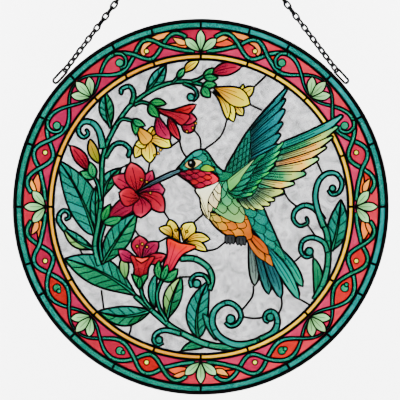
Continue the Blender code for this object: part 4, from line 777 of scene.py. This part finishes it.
def chainsOf(leads):
    graph = {}
    for a, b in leads:
        graph.setdefault(a, set()).add(b)
        graph.setdefault(b, set()).add(a)
    used, chains = set(), []
    ends = [v for v in graph if len(graph[v]) != 2] + list(graph)
    for start in ends:
        for step in sorted(graph[start]):
            if (start, step) in used:
                continue
            chain = [start, step]
            while len(graph[chain[-1]]) == 2 and chain[-1] != start:
                chain.append(next(v for v in graph[chain[-1]] if v != chain[-2]))
            for a, b in zip(chain, chain[1:]):
                used.add((a, b))
                used.add((b, a))
            chains.append((chain, leads[tuple(sorted(chain[:2]))]))
    return chains


def glassOf(number):
    return shapes[number]["glass"]


def glassPieces(triangles, top, sides, leads):
    # Groups of triangles that no lead parts, each with the shape that shows there
    group = [-1] * len(triangles)
    pieces = []
    for seed in range(len(triangles)):
        if group[seed] >= 0 or top[seed] < 0:
            continue
        group[seed] = len(pieces)
        members, queue = [], [seed]
        while queue:
            number = queue.pop()
            members.append(number)
            a, b, c = triangles[number]
            for edge in ((a, b), (b, c), (c, a)):
                edge = tuple(sorted(edge))
                for other in () if edge in leads else sides[edge]:
                    if group[other] < 0 and top[other] >= 0 and glassOf(top[other]) == glassOf(top[seed]):
                        group[other] = len(pieces)
                        queue.append(other)
        pieces.append((top[seed], members))
    return pieces


# Materials

def newGroup(name, inputs, outputs):
    group = bpy.data.node_groups.new(name, "ShaderNodeTree")
    for socketName, kind, value in inputs:
        socket = group.interface.new_socket(socketName, in_out="INPUT", socket_type=kind)
        if value is not None:
            socket.default_value = value
    for socketName, kind in outputs:
        group.interface.new_socket(socketName, in_out="OUTPUT", socket_type=kind)
    return group, group.nodes.new("NodeGroupInput"), group.nodes.new("NodeGroupOutput")


def addNode(tree, kind, values=None, **settings):
    node = tree.nodes.new(kind)
    for name, value in settings.items():
        setattr(node, name, value)
    for name, value in (values or {}).items():
        node.inputs[name].default_value = value
    return node


def addMath(tree, operation, *terms):
    # Each term is a plain number or another node's output
    node = addNode(tree, "ShaderNodeMath", operation=operation)
    for i, term in enumerate(terms):
        if isinstance(term, float):
            node.inputs[i].default_value = term
        else:
            tree.links.new(term, node.inputs[i])
    return node.outputs[0]


def addTexture(tree, kind, values, **settings):
    # A texture on the object's own coordinates
    place = addNode(tree, "ShaderNodeTexCoord")
    texture = addNode(tree, kind, values, **settings)
    tree.links.new(place.outputs["Object"], texture.inputs["Vector"])
    return texture


def addRamp(tree, factor, stops):
    ramp = addNode(tree, "ShaderNodeValToRGB")
    elements = ramp.color_ramp.elements
    for element, (position, *colour) in zip(elements, (stops[0], stops[-1])):
        element.position = position
        element.color = (*colour, 1)
    for position, *colour in stops[1:-1]:
        elements.new(position).color = (*colour, 1)
    tree.links.new(factor, ramp.inputs["Fac"])
    return ramp.outputs["Color"]


def addBump(tree, height, strength, distance):
    bump = addNode(tree, "ShaderNodeBump", {"Strength": strength, "Distance": distance})
    tree.links.new(height, bump.inputs["Height"])
    return bump.outputs["Normal"]


def newMaterial(name, values):
    made = bpy.data.materials.new(name)
    made.use_nodes = True
    shader = made.node_tree.nodes["Principled BSDF"]
    for socketName, value in values.items():
        shader.inputs[socketName].default_value = value
    return made, made.node_tree, shader


rolledLook = {"cloud": {"Detail": 4.0, "Roughness": 0.6, "Distortion": 1.2}, "cloudScale": 70.0,
              "tintLight": 0.14, "tintHue": 0.012, "wave": {"Scale": 160.0, "Detail": 2.0},
              "bump": (0.25, 0.0006)}


def streakGroup():
    # Streaks and clouds of rolled glass: shifts a colour's lightness and gives the surface a soft wave
    group, start, end = newGroup(
        "rolledGlass", [("Color", "NodeSocketColor", None), ("Tint", "NodeSocketFloat", 0.0),
                        ("Scale", "NodeSocketFloat", 60.0), ("Contrast", "NodeSocketFloat", 0.5)],
        [("Color", "NodeSocketColor"), ("Normal", "NodeSocketVector")])
    cloud = addTexture(group, "ShaderNodeTexNoise", rolledLook["cloud"])
    group.links.new(start.outputs["Scale"], cloud.inputs["Scale"])
    centred = addMath(group, "SUBTRACT", cloud.outputs["Fac"], 0.5)
    strength = addMath(group, "MULTIPLY", centred, start.outputs["Contrast"])
    tint = addMath(group, "MULTIPLY", start.outputs["Tint"], rolledLook["tintLight"])
    light = addMath(group, "ADD", addMath(group, "ADD", strength, tint), 1.0)
    hueShift = addMath(group, "MULTIPLY_ADD", start.outputs["Tint"], rolledLook["tintHue"], 0.5)
    colour = addNode(group, "ShaderNodeHueSaturation")
    group.links.new(hueShift, colour.inputs["Hue"])
    group.links.new(light, colour.inputs["Value"])
    group.links.new(start.outputs["Color"], colour.inputs["Color"])
    group.links.new(colour.outputs["Color"], end.inputs["Color"])
    wave = addTexture(group, "ShaderNodeTexNoise", rolledLook["wave"])
    group.links.new(addBump(group, wave.outputs["Fac"], *rolledLook["bump"]), end.inputs["Normal"])
    return group


# Each glass: how strongly its clouds and pieces differ, then its colours from the base to the tip of a shape
glassLooks = {
    "tealRing": (1.2, (0, 0.002, 0.184, 0.136), (1, 0.002, 0.183, 0.155)),
    "yellowRing": (0.3, (0, 0.826, 0.35, 0.002), (1, 1, 0.547, 0.002)),
    "fieldRed": (0.7, (0, 0.32, 0.002, 0.018), (1, 0.44, 0.004, 0.024)),
    "fieldPink": (0.7, (0, 0.36, 0.006, 0.042), (1, 0.5, 0.015, 0.062)),
    "fieldCoral": (0.7, (0, 0.6, 0.02, 0.012), (1, 0.74, 0.05, 0.02)),
    "fieldOrange": (0.7, (0, 0.72, 0.08, 0.006), (1, 0.86, 0.14, 0.012)),
    "fieldAmber": (0.5, (0, 0.9, 0.22, 0.02), (1, 1, 0.32, 0.04)),
    "vineGreen": (0.6, (0, 0.002, 0.184, 0.096), (1, 0.002, 0.19, 0.128)),
    "beadGreen": (0.3, (0, 0.002, 0.204, 0.081), (1, 0.002, 0.234, 0.102)),
    "creamDot": (0.1, (0, 1, 0.87, 0.002), (1, 1, 1, 0.09)),
    "rosetteGreen": (0.4, (0, 0.09, 0.28, 0.09), (0.5, 0.22, 0.56, 0.19), (1, 0.4, 0.8, 0.32)),
    "stemGreen": (0.6, (0, 0.002, 0.184, 0.094), (1, 0.002, 0.191, 0.1)),
    "scrollTeal": (0.7, (0, 0.002, 0.145, 0.061), (0.5, 0.002, 0.184, 0.136), (1, 0.002, 0.184, 0.136)),
    "midribGreen": (0.4, (0, 0.002, 0.184, 0.091), (1, 0.002, 0.231, 0.099)),
    "leafTurquoise": (1, (0, 0.002, 0.184, 0.131), (0.5, 0.002, 0.184, 0.136), (1, 0.002, 0.184, 0.136)),
    "leafTeal": (1, (0, 0.002, 0.114, 0.055), (0.5, 0.002, 0.183, 0.116), (1, 0.002, 0.184, 0.136)),
    "leafGreen": (1, (0, 0.002, 0.101, 0.033), (0.6, 0.002, 0.15, 0.054), (1, 0.002, 0.228, 0.081)),
    "leafLight": (0.6, (0, 0.03, 0.26, 0.06), (0.5, 0.16, 0.42, 0.1), (1, 0.42, 0.64, 0.18)),
    "leafGold": (0.6, (0, 0.152, 0.241, 0.014), (1, 0.461, 0.268, 0.002)),
    "calyxGreen": (0.5, (0, 0.002, 0.116, 0.036), (1, 0.002, 0.275, 0.063)),
    "redPetal": (0.7, (0, 0.07, 0.001, 0.006), (0.35, 0.22, 0.001, 0.017), (0.8, 0.34, 0.003, 0.032),
                 (1, 0.62, 0.05, 0.1)),
    "redTube": (0.6, (0, 0.1, 0.001, 0.008), (1, 0.34, 0.003, 0.03)),
    "coralLip": (0.4, (0, 0.907, 0.003, 0.016), (1, 1, 0.076, 0.029)),
    "creamPetal": (0.3, (0, 0.357, 0.116, 0.002), (0.35, 0.671, 0.35, 0.002), (1, 1, 0.959, 0.004)),
    "creamTube": (0.3, (0, 0.455, 0.183, 0.002), (1, 0.806, 0.45, 0.002)),
    "orangeTube": (0.5, (0, 0.383, 0.002, 0.009), (0.6, 0.624, 0.002, 0.002), (1, 0.769, 0.087, 0.002)),
    "pollen": (0.1, (0, 0.511, 0.235, 0.002), (1, 0.778, 0.454, 0.002)),
    "backFeather": (0.8, (0, 0.002, 0.037, 0.045), (0.45, 0.002, 0.116, 0.127), (1, 0.002, 0.184, 0.185)),
    "backCovert": (0.8, (0, 0.002, 0.087, 0.045), (1, 0.002, 0.134, 0.094)),
    "tailGrey": (0.6, (0, 0.032, 0.085, 0.075), (0.6, 0.089, 0.136, 0.117), (1, 0.129, 0.181, 0.153)),
    "tailDark": (0.6, (0, 0.002, 0.027, 0.033), (0.6, 0.005, 0.068, 0.075), (1, 0.01, 0.149, 0.12)),
    "tailBright": (0.6, (0, 0.002, 0.056, 0.058), (0.5, 0.002, 0.184, 0.136), (1, 0.002, 0.289, 0.152)),
    "underTail": (0.5, (0, 0.399, 0.074, 0.002), (1, 0.534, 0.137, 0.002)),
    "backTeal": (1.2, (0, 0.002, 0.135, 0.078), (0.5, 0.002, 0.184, 0.136), (1, 0.002, 0.184, 0.1)),
    "belly": (1, (0, 0.304, 0.336, 0.053), (0.45, 0.576, 0.176, 0.002), (1, 0.416, 0.073, 0.002)),
    "sideGreen": (1, (0, 0.01, 0.24, 0.11), (0.5, 0.05, 0.32, 0.11), (1, 0.24, 0.46, 0.12)),
    "chestCream": (0.2, (0, 1, 0.98, 0.72), (1, 0.86, 0.72, 0.28)),
    "throat": (1, (0, 0.124, 0.002, 0.01), (0.45, 0.248, 0.002, 0.016), (0.7, 0.406, 0.002, 0.015),
               (1, 1, 0.004, 0.009)),
    "headGreen": (1, (0, 0.002, 0.184, 0.136), (0.5, 0.002, 0.184, 0.1), (1, 0.002, 0.136, 0.058)),
    "cheekGold": (0.3, (0, 0.012, 0.212, 0.044), (0.6, 0.198, 0.426, 0.002), (1, 0.487, 0.303, 0.002)),
    "eyePatch": (0.1, (0, 0.642, 0.248, 0.038), (1, 1, 1, 0.387)),
    "eyeBlack": (0.1, (0, 0.002, 0.002, 0.002), (1, 0.002, 0.002, 0.002)),
    "glint": (0, (0, 0.657, 1, 1), (1, 1, 1, 1)),
    "billGrey": (0.4, (0, 0.07, 0.18, 0.198), (0.5, 0.028, 0.067, 0.083), (1, 0.004, 0.011, 0.016)),
    "footGrey": (0.4, (0, 0.03, 0.035, 0.04), (1, 0.06, 0.065, 0.07)),
    "primaryTeal": (0.6, (0, 0.002, 0.136, 0.091), (0.5, 0.002, 0.186, 0.136), (1, 0.002, 0.271, 0.208)),
    "primarySage": (0.6, (0, 0.003, 0.139, 0.083), (0.4, 0.035, 0.325, 0.128), (0.7, 0.519, 0.661, 0.113),
                    (1, 0.01, 0.541, 0.212)),
    "primary": (0.5, (0, 0.034, 0.207, 0.109), (0.35, 0.442, 0.435, 0.11), (0.65, 1, 0.452, 0.039),
                (1, 0.265, 1, 0.269)),
    "primaryPeach": (0.4, (0, 0.242, 0.211, 0.102), (0.4, 1, 0.365, 0.026), (0.75, 1, 0.578, 0.079),
                     (1, 0.576, 1, 0.278)),
    "secondary": (0.6, (0, 0.029, 0.116, 0.075), (0.5, 0.191, 0.294, 0.109), (1, 0.817, 0.999, 0.146)),
    "medianCovert": (0.8, (0, 0.002, 0.125, 0.069), (0.5, 0.002, 0.189, 0.095), (1, 0.002, 0.748, 0.098)),
    "lesserCovert": (0.8, (0, 0.002, 0.136, 0.054), (1, 0.002, 0.184, 0.119)),
    "shoulderGreen": (0.5, (0, 0.08, 0.38, 0.07), (0.6, 0.2, 0.5, 0.13), (1, 0.56, 0.8, 0.34)),
}
opaqueGlass = {"eyeBlack", "glint", "footGrey"}
glassShader = {"Roughness": 0.22, "IOR": 1.5, "Specular IOR Level": 0.15, "Transmission Weight": 0.5}


def colouredGlass(name, rolled):
    contrast, *stops = glassLooks[name]
    made, tree, shader = newMaterial(name, glassShader)
    if name in opaqueGlass:
        shader.inputs["Transmission Weight"].default_value = 0.0
    where = addNode(tree, "ShaderNodeUVMap", uv_map="along")
    split = addNode(tree, "ShaderNodeSeparateXYZ")
    tree.links.new(where.outputs["UV"], split.inputs[0])
    tint = addNode(tree, "ShaderNodeAttribute", attribute_name="tint")
    streaks = addNode(tree, "ShaderNodeGroup", node_tree=rolled)
    streaks.inputs["Contrast"].default_value = contrast
    streaks.inputs["Scale"].default_value = rolledLook["cloudScale"]
    tree.links.new(addRamp(tree, split.outputs["X"], stops), streaks.inputs["Color"])
    tree.links.new(tint.outputs["Fac"], streaks.inputs["Tint"])
    tree.links.new(streaks.outputs["Color"], shader.inputs["Base Color"])
    tree.links.new(streaks.outputs["Normal"], shader.inputs["Normal"])
    return made


hammered = {"shader": {"Roughness": 0.12, "IOR": 1.45, "Transmission Weight": 0.7},
            "cloud": {"Scale": 95.0, "Detail": 3.0, "Roughness": 0.55, "Distortion": 1.6},
            "stops": [(0.32, 0.17, 0.17, 0.175), (0.68, 0.52, 0.52, 0.53)],
            "dents": {"Scale": 170.0}, "bump": (0.35, 0.0008)}


def hammeredGlass():
    made, tree, shader = newMaterial("hammeredClearGlass", hammered["shader"])
    cloud = addTexture(tree, "ShaderNodeTexNoise", hammered["cloud"])
    tree.links.new(addRamp(tree, cloud.outputs["Fac"], hammered["stops"]), shader.inputs["Base Color"])
    dents = addTexture(tree, "ShaderNodeTexVoronoi", hammered["dents"], feature="SMOOTH_F1")
    tree.links.new(addBump(tree, dents.outputs["Distance"], *hammered["bump"]), shader.inputs["Normal"])
    return made


# Black metals: base grey, roughness, shine and the scale of their wear
darkLooks = {"blackLead": (0.0005, 0.7, 0.04, 900.0), "blackenedSteel": (0.002, 0.55, 0.04, 500.0)}
wearLook = {"detail": 6.0, "roughness": 0.65, "worn": (0.35, 0.75), "wornLight": 1.8, "smoother": 0.1,
            "rougher": 0.15, "bump": (0.2, 0.0002)}


def darkMetal(name):
    grey, roughness, shine, scale = darkLooks[name]
    made, tree, shader = newMaterial(name, {"Specular IOR Level": shine})
    wear = addTexture(tree, "ShaderNodeTexNoise", {"Scale": scale, "Detail": wearLook["detail"],
                                                   "Roughness": wearLook["roughness"]}).outputs["Fac"]
    lights = (1, wearLook["wornLight"])
    stops = [(place, *[light * grey] * 3) for place, light in zip(wearLook["worn"], lights)]
    tree.links.new(addRamp(tree, wear, stops), shader.inputs["Base Color"])
    rough = addNode(tree, "ShaderNodeMapRange", {"To Min": roughness - wearLook["smoother"],
                                                 "To Max": roughness + wearLook["rougher"]})
    tree.links.new(wear, rough.inputs["Value"])
    tree.links.new(rough.outputs["Result"], shader.inputs["Roughness"])
    tree.links.new(addBump(tree, wear, *wearLook["bump"]), shader.inputs["Normal"])
    return made


# Pieces

panes = {"depth": 3.0 * mm}
leadShape = {"depth": 5.0 * mm, "bevelSteps": 0, "proud": 0.75}
paintLook = {"Base Color": (0.001, 0.001, 0.001, 1), "Roughness": 0.8, "Specular IOR Level": 0.02}


def addObject(name, data):
    made = bpy.data.objects.new(name, data)
    bpy.context.scene.collection.objects.link(made)
    return made


def inSpace(point, depth):
    return Vector((panelMiddle.x + point[0] * unit, depth, panelMiddle.z + point[1] * unit))


# Where the border field changes colour: degrees from a cardinal rosette, reach from the vines' middle, height
fieldZones = {"rosette": 9, "near": 17, "far": 27, "rosetteReach": 5, "reach": 4, "low": -40}


def fieldGlass(middle):
    # The border field's colour, from its place between two rosettes
    radius = np.linalg.norm(middle)
    angle = math.degrees(math.atan2(middle[0], middle[1])) % 90
    angle = min(angle, 90 - angle)
    offset = radius - vine["middle"]
    low, left = middle[1] < fieldZones["low"], middle[0] < 0
    near, far = angle < fieldZones["near"], angle >= fieldZones["far"]
    if angle < fieldZones["rosette"]:
        return "fieldRed" if abs(offset) < fieldZones["rosetteReach"] or low else "fieldPink"
    if abs(offset) < fieldZones["reach"]:
        return "fieldPink" if far and not low else "fieldRed"
    if offset > fieldZones["reach"]:
        return "fieldPink" if near and not low else "fieldOrange" if far and not left else "fieldCoral"
    if near:
        return "fieldOrange" if left or low else "fieldAmber"
    return "fieldOrange" if not far else "fieldRed" if left else "fieldCoral"


def paneSpots(shape, places, corners):
    # How far along and across its shape each corner lies
    a, b = shape["axis"]
    way = b - a
    length = np.linalg.norm(way)
    half = shape["halfWidth"] or length / 2
    reaches = [places[v] - a for v in corners]
    return [(reach @ way / length ** 2, reach @ leftOf(way) / length / half) for reach in reaches]


def paneMesh(name, places, triangles, group):
    # Flat plates with their spots as UV, and one random tint for each
    vertices, faces, uvs, tints = [], [], [], []
    for shown, members in group:
        corners = sorted({v for m in members for v in triangles[m]})
        first = len(vertices)
        count = len(corners)
        local = {v: first + i for i, v in enumerate(corners)}
        for depth in (-panes["depth"] / 2, panes["depth"] / 2):
            vertices.extend(inSpace(places[v], depth) for v in corners)
        uvs.extend(paneSpots(shapes[shown], places, corners) * 2)
        tints.extend([random.uniform(-1, 1)] * (2 * count))
        once = {}
        for m in members:
            t = [local[v] for v in triangles[m]]
            faces.append(t)
            faces.append([v + count for v in reversed(t)])
            for edge in zip(t, t[1:] + t[:1]):
                once[tuple(sorted(edge))] = None if tuple(sorted(edge)) in once else edge
        faces.extend((b, a, a + count, b + count) for a, b in filter(None, once.values()))
    mesh = bpy.data.meshes.new(name)
    mesh.from_pydata(vertices, [], faces)
    which = np.empty(len(mesh.loops), int)
    mesh.loops.foreach_get("vertex_index", which)
    mesh.uv_layers.new(name="along").uv.foreach_set("vector", np.array(uvs, np.float32)[which].ravel())
    mesh.attributes.new("tint", "FLOAT", "POINT").data.foreach_set("value", tints)
    return mesh


def buildGlass(places, triangles, pieces):
    rolled = streakGroup()
    batches = {}
    for shown, members in pieces:
        glass = glassOf(shown)
        if glass == "field":
            corners = places[np.array([triangles[m] for m in members])].mean(axis=1)
            glass = fieldGlass(corners.mean(axis=0))
        batches.setdefault(glass, []).append((shown, members))
    made = {}
    for glass, group in batches.items():
        mesh = paneMesh("glass_" + glass, places, triangles, group)
        mesh.materials.append(hammeredGlass() if glass == "clear" else colouredGlass(glass, rolled))
        made[glass] = addObject("glass_" + glass, mesh)
    print("glass,", len(pieces), "pieces in", len(made), "colours")
    return made


def flatWires(name, wires, middleDepth, steps, material, proud=None):
    # Wires that run in a plane parallel to the panel, all of one width made together
    byWidth = {}
    for line, width in wires:
        byWidth.setdefault(round(width, 1), []).append(line)
    meshes = []
    for width, lines in sorted(byWidth.items()):
        radius = width / 2 * mm
        half = radius if proud is None else min(leadShape["depth"] / 2, panes["depth"] / 2 + proud * width * mm)
        data = bpy.data.curves.new(name, "CURVE")
        data.dimensions = "3D"
        data.fill_mode = "FULL"
        data.twist_mode = "Z_UP"
        data.bevel_depth = radius
        data.bevel_resolution = steps
        data.extrude = half - radius
        data.use_fill_caps = True
        for line in lines:
            closed = len(line) > 3 and np.allclose(line[0], line[-1])
            line = line[:-1] if closed else line
            spline = data.splines.new("POLY")
            spline.points.add(len(line) - 1)
            for spot, point in zip(spline.points, line):
                spot.co = (point[0] * unit, point[1] * unit, 0, 1)
            spline.use_cyclic_u = closed
        curve = addObject(name + "_curve", data)
        shown = curve.evaluated_get(bpy.context.evaluated_depsgraph_get())
        meshes.append(bpy.data.meshes.new_from_object(shown))
        bpy.data.objects.remove(curve)
    middle = Vector((panelMiddle.x, middleDepth, panelMiddle.z))
    turn = Matrix.Translation(middle) @ Matrix.Rotation(math.pi / 2, 4, "X")
    for mesh in meshes:
        mesh.transform(turn)
    return joinedPiece(name, meshes, material)


def visibleRuns(line, number):
    # The parts of a painted line where its own shape shows
    fine = np.array(smooth(line, 6) if len(line) > 2 else
                    [line[0] + (line[1] - line[0]) * i / 6 for i in range(7)])
    shown = topShapes(fine, number) == number
    runs, run = [], []
    for point, free in zip(fine, shown):
        if free:
            run.append(point)
            continue
        if len(run) > 2:
            runs.append(run)
        run = []
    return runs + ([run] if len(run) > 2 else [])


def buildLeads(places, leads):
    wires = [([places[v] for v in chain], width) for chain, width in chainsOf(leads)]
    piece = flatWires("leading_lines", wires, 0, leadShape["bevelSteps"], darkMetal("blackLead"),
                      leadShape["proud"])
    print("leads,", len(wires), "lines,", len(piece.data.polygons), "faces")
    return piece


def buildPaintedLines():
    wires = []
    for number, shape in enumerate(shapes):
        for line, radius in shape["lines"]:
            line = [np.array(point, float) for point in line]
            wires.extend((run, 2 * radius) for run in visibleRuns(line, number))
    ink = newMaterial("firedBlackPaint", paintLook)[0]
    piece = flatWires("painted_lines", wires, -panes["depth"] / 2, 1, ink)
    print("painted lines,", len(wires))
    return piece


rim = {"width": 1.8, "steps": 180, "rounding": 0.6, "shoulder": 0.3, "merge": 0.00005, "sharp": 30}


def deselectAll():
    for thing in bpy.context.selected_objects:
        thing.select_set(False)


def buildRim(metal):
    outer, inner = panelRadius, panelRadius - rim["width"] * mm
    half, cut = (rimHigh.y - rimLow.y) / 2, rim["rounding"] * mm
    near = rim["shoulder"] * cut
    side = [(outer - cut, half), (outer - near, half - near), (outer, half - cut)]
    profile = [(inner, half)] + side + [(r, -z) for r, z in side[::-1]] + [(inner, -half)]
    mesh = bpy.data.meshes.new("rim_band")
    count = len(profile)
    mesh.from_pydata([(r, 0, z) for r, z in profile], [(i, (i + 1) % count) for i in range(count)], [])
    piece = addObject("rim_band", mesh)
    turn = piece.modifiers.new("turn", "SCREW")
    turn.axis = "Z"
    turn.steps = rim["steps"]
    turn.render_steps = rim["steps"]
    turn.use_merge_vertices = True
    turn.merge_threshold = rim["merge"]
    deselectAll()
    bpy.context.view_layer.objects.active = piece
    piece.select_set(True)
    bpy.ops.object.modifier_apply(modifier="turn")
    mesh.transform(Matrix.Translation(panelMiddle) @ Matrix.Rotation(math.pi / 2, 4, "X"))
    mesh.materials.append(metal)
    bpy.ops.object.shade_smooth_by_angle(angle=math.radians(rim["sharp"]))
    return piece


links = {"loopLength": 16.0, "loopWidth": 6.0, "loopWire": 2.0, "loopAngle": 42.9, "width": 6.0, "wire": 1.8,
         "pitch": 5.7, "gap": 0.3, "ringHole": 4.6, "ringWire": 2.0, "firstTurn": 40}
# Steps round each kind of ring and round its wire
ringFaces, loopFaces, linkFaces = (48, 14), (40, 12), (20, 8)


def longRing(length, width, wire, around, across, oval=False):
    # A wire ring drawn out along X, with straight sides or as an oval
    bpy.ops.mesh.primitive_torus_add(major_segments=around, minor_segments=across,
                                     major_radius=(width - wire) / 2, minor_radius=wire / 2)
    ring = bpy.context.active_object
    for vertex in ring.data.vertices:
        if oval:
            vertex.co.x += (length - width) / 2 * vertex.co.x / vertex.co.xy.length
        elif abs(vertex.co.x) > 1e-7:
            vertex.co.x += math.copysign((length - width) / 2, vertex.co.x)
    mesh = ring.data
    bpy.data.objects.remove(ring)
    return mesh


def turned(lengthWay, widthWay, middle):
    third = lengthWay.cross(widthWay)
    rows = [(lengthWay[i], widthWay[i], third[i], middle[i]) for i in range(3)]
    return Matrix(rows + [(0, 0, 0, 1)])


def joinedPiece(name, meshes, metal):
    whole = bmesh.new()
    for mesh in meshes:
        whole.from_mesh(mesh)
        bpy.data.meshes.remove(mesh)
    data = bpy.data.meshes.new(name)
    whole.to_mesh(data)
    whole.free()
    data.materials.append(metal)
    data.shade_smooth()
    return addObject(name, data)


def buildHanging(metal):
    pieces = {}
    ringMiddle = Vector((0, 0, -links["ringHole"] * mm))
    across = 2 * (links["ringHole"] + links["ringWire"]) * mm
    ring = longRing(across, across, links["ringWire"] * mm, *ringFaces)
    ring.transform(turned(Vector((1, 0, 0)), Vector((0, 0, 1)), ringMiddle))
    pieces["hanging_ring"] = joinedPiece("hanging_ring_wire", [ring], metal)
    angle = math.radians(links["loopAngle"])
    for side, word in ((-1, "left"), (1, "right")):
        outward = Vector((side * math.cos(angle), 0, math.sin(angle)))
        upward = Vector((-side * math.sin(angle), 0, math.cos(angle)))
        middle = panelMiddle + outward * (panelRadius + (links["gap"] + links["loopWidth"] / 2) * mm)
        loop = longRing(links["loopLength"] * mm, links["loopWidth"] * mm, links["loopWire"] * mm, *loopFaces)
        loop.transform(turned(upward, outward, middle))
        pieces["loop_" + word] = joinedPiece("rim_loop_" + word, [loop], metal)
        reach = links["loopLength"] / 2 - links["loopWire"] - links["gap"] - links["wire"] / 2
        low = middle + upward * reach * mm
        way = (low - ringMiddle).normalized()
        high = ringMiddle + way * (links["ringHole"] - links["gap"] - links["wire"] / 2) * mm
        pieces["chain_" + word] = buildChain("chain_" + word + "_links", low, high, metal)
    return pieces


def buildChain(name, low, high, metal):
    # Neighbouring links stand at right angles, and the whole chain has a quarter turn in it
    run = (high - low).length
    wire = links["wire"] * mm
    count = 2 * round((run / (links["pitch"] * mm) - 1) / 2) + 1
    pitch = (run - wire) / count
    length = pitch + 2 * wire
    way = (high - low).normalized()
    sideWay = way.cross(Vector((0, 1, 0)))
    meshes = []
    for number in range(count):
        angle = math.radians(links["firstTurn"] + 90 * number + 90 * number / (count - 1))
        widthWay = sideWay * math.cos(angle) + Vector((0, 1, 0)) * math.sin(angle)
        middle = low + way * ((length - wire) / 2 + pitch * number)
        link = longRing(length, links["width"] * mm, wire, *linkFaces, oval=True)
        link.transform(turned(way, widthWay, middle))
        meshes.append(link)
    return joinedPiece(name, meshes, metal)


# How the names of the nodes that a colour's panes replace begin
panesInCad = {
    "clear": "clear_glass_", "leafTeal": "leaf_", "redPetal": "red_petal_", "orangeTube": "orange_tube_",
    "creamPetal": "cream_petal_", "backFeather": "back_wing_feather_", "primary": "front_wing_feather_",
    "medianCovert": "front_wing_coverts_", "shoulderGreen": "shoulder_", "backTeal": "back_0",
    "belly": "belly_", "sideGreen": "side_", "chestCream": "breast_", "throat": "throat_",
    "headGreen": "head_", "redTube": "red_tube_", "tailDark": "tail_feather_", "underTail": "undertail_"}


def rideAll(glassMade, leadPiece, paintPiece, rimPiece, hanging):
    for glass, piece in glassMade.items():
        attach(piece, "root")
        if glass in panesInCad:
            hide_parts(*[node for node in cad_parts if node.startswith(panesInCad[glass])])
    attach(leadPiece, "root")
    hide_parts("leading")
    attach(paintPiece, "root")
    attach(rimPiece, "root")
    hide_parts("rim")
    for node, piece in hanging.items():
        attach(piece, "root")
        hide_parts(node)


# Stage, light and camera

stage = {"wallBehind": 3.4, "floorBelow": 0.28, "size": 12, "wallUp": 5.9, "worldLight": 0.3,
         "shader": {"Base Color": (0.93, 0.93, 0.93, 1), "Roughness": 0.9}}
# Lamps: place, size, power and whether they light the wall
lamps = {"key": ((-1.3, -1.1, 0.6), 1.0, 23, False), "fill": ((1.5, -0.9, 0.2), 1.0, 15.5, False),
         "back": ((0.4, 1.6, 1.4), 1.2, 30, False), "wallLeft": ((-1.3, 2.9, 0.6), 1.2, 190, True),
         "wallRight": ((1.3, 2.9, 0.6), 1.2, 190, True)}
view = {"photoWidth": 0.3192, "distance": 2.6, "lookRight": -0.0006, "lookUp": 0.0054, "sensor": 36,
        "panelRadius": 0.15}


def buildStage():
    white = newMaterial("paleStage", stage["shader"])[0]
    floorZ = rimLow.z - stage["floorBelow"]
    for name, place, turn in (("floor", (0, 0, floorZ), 0),
                              ("wall", (0, stage["wallBehind"], floorZ + stage["wallUp"]), math.pi / 2)):
        bpy.ops.mesh.primitive_plane_add(size=stage["size"], location=place, rotation=(turn, 0, 0))
        plane = bpy.context.active_object
        plane.name = name
        plane.data.materials.append(white)


def buildLights():
    world = bpy.data.worlds.new("studio")
    bpy.context.scene.world = world
    world.use_nodes = True
    world.node_tree.nodes["Background"].inputs["Color"].default_value = (1, 1, 1, 1)
    world.node_tree.nodes["Background"].inputs["Strength"].default_value = stage["worldLight"]
    for name, (place, size, power, onWall) in lamps.items():
        light = bpy.data.lights.new(name, "AREA")
        light.energy = power
        light.size = size
        lamp = addObject(name, light)
        lamp.location = place
        target = Vector((0, stage["wallBehind"], panelMiddle.z)) if onWall else panelMiddle
        lamp.rotation_euler = (target - Vector(place)).to_track_quat("-Z", "Y").to_euler()


def buildCamera():
    data = bpy.data.cameras.new("camera")
    data.sensor_width = view["sensor"]
    data.lens = view["sensor"] * view["distance"] / (view["photoWidth"] * panelRadius / view["panelRadius"])
    camera = addObject("camera", data)
    camera.location = (panelMiddle.x + view["lookRight"], -view["distance"], panelMiddle.z + view["lookUp"])
    camera.rotation_euler = (math.pi / 2, 0, 0)
    bpy.context.scene.camera = camera


def main():
    deselectAll()
    drawPicture()
    places, triangles, top, sides, sources, parted = planeMap()
    leads = leadLines(places, top, sides, sources, parted)
    pieces = glassPieces(triangles, top, sides, leads)
    glassMade = buildGlass(places, triangles, pieces)
    leadPiece = buildLeads(places, leads)
    paintPiece = buildPaintedLines()
    metal = darkMetal("blackenedSteel")
    rimPiece = buildRim(metal)
    hanging = buildHanging(metal)
    rideAll(glassMade, leadPiece, paintPiece, rimPiece, hanging)
    buildStage()
    buildLights()
    buildCamera()


main()
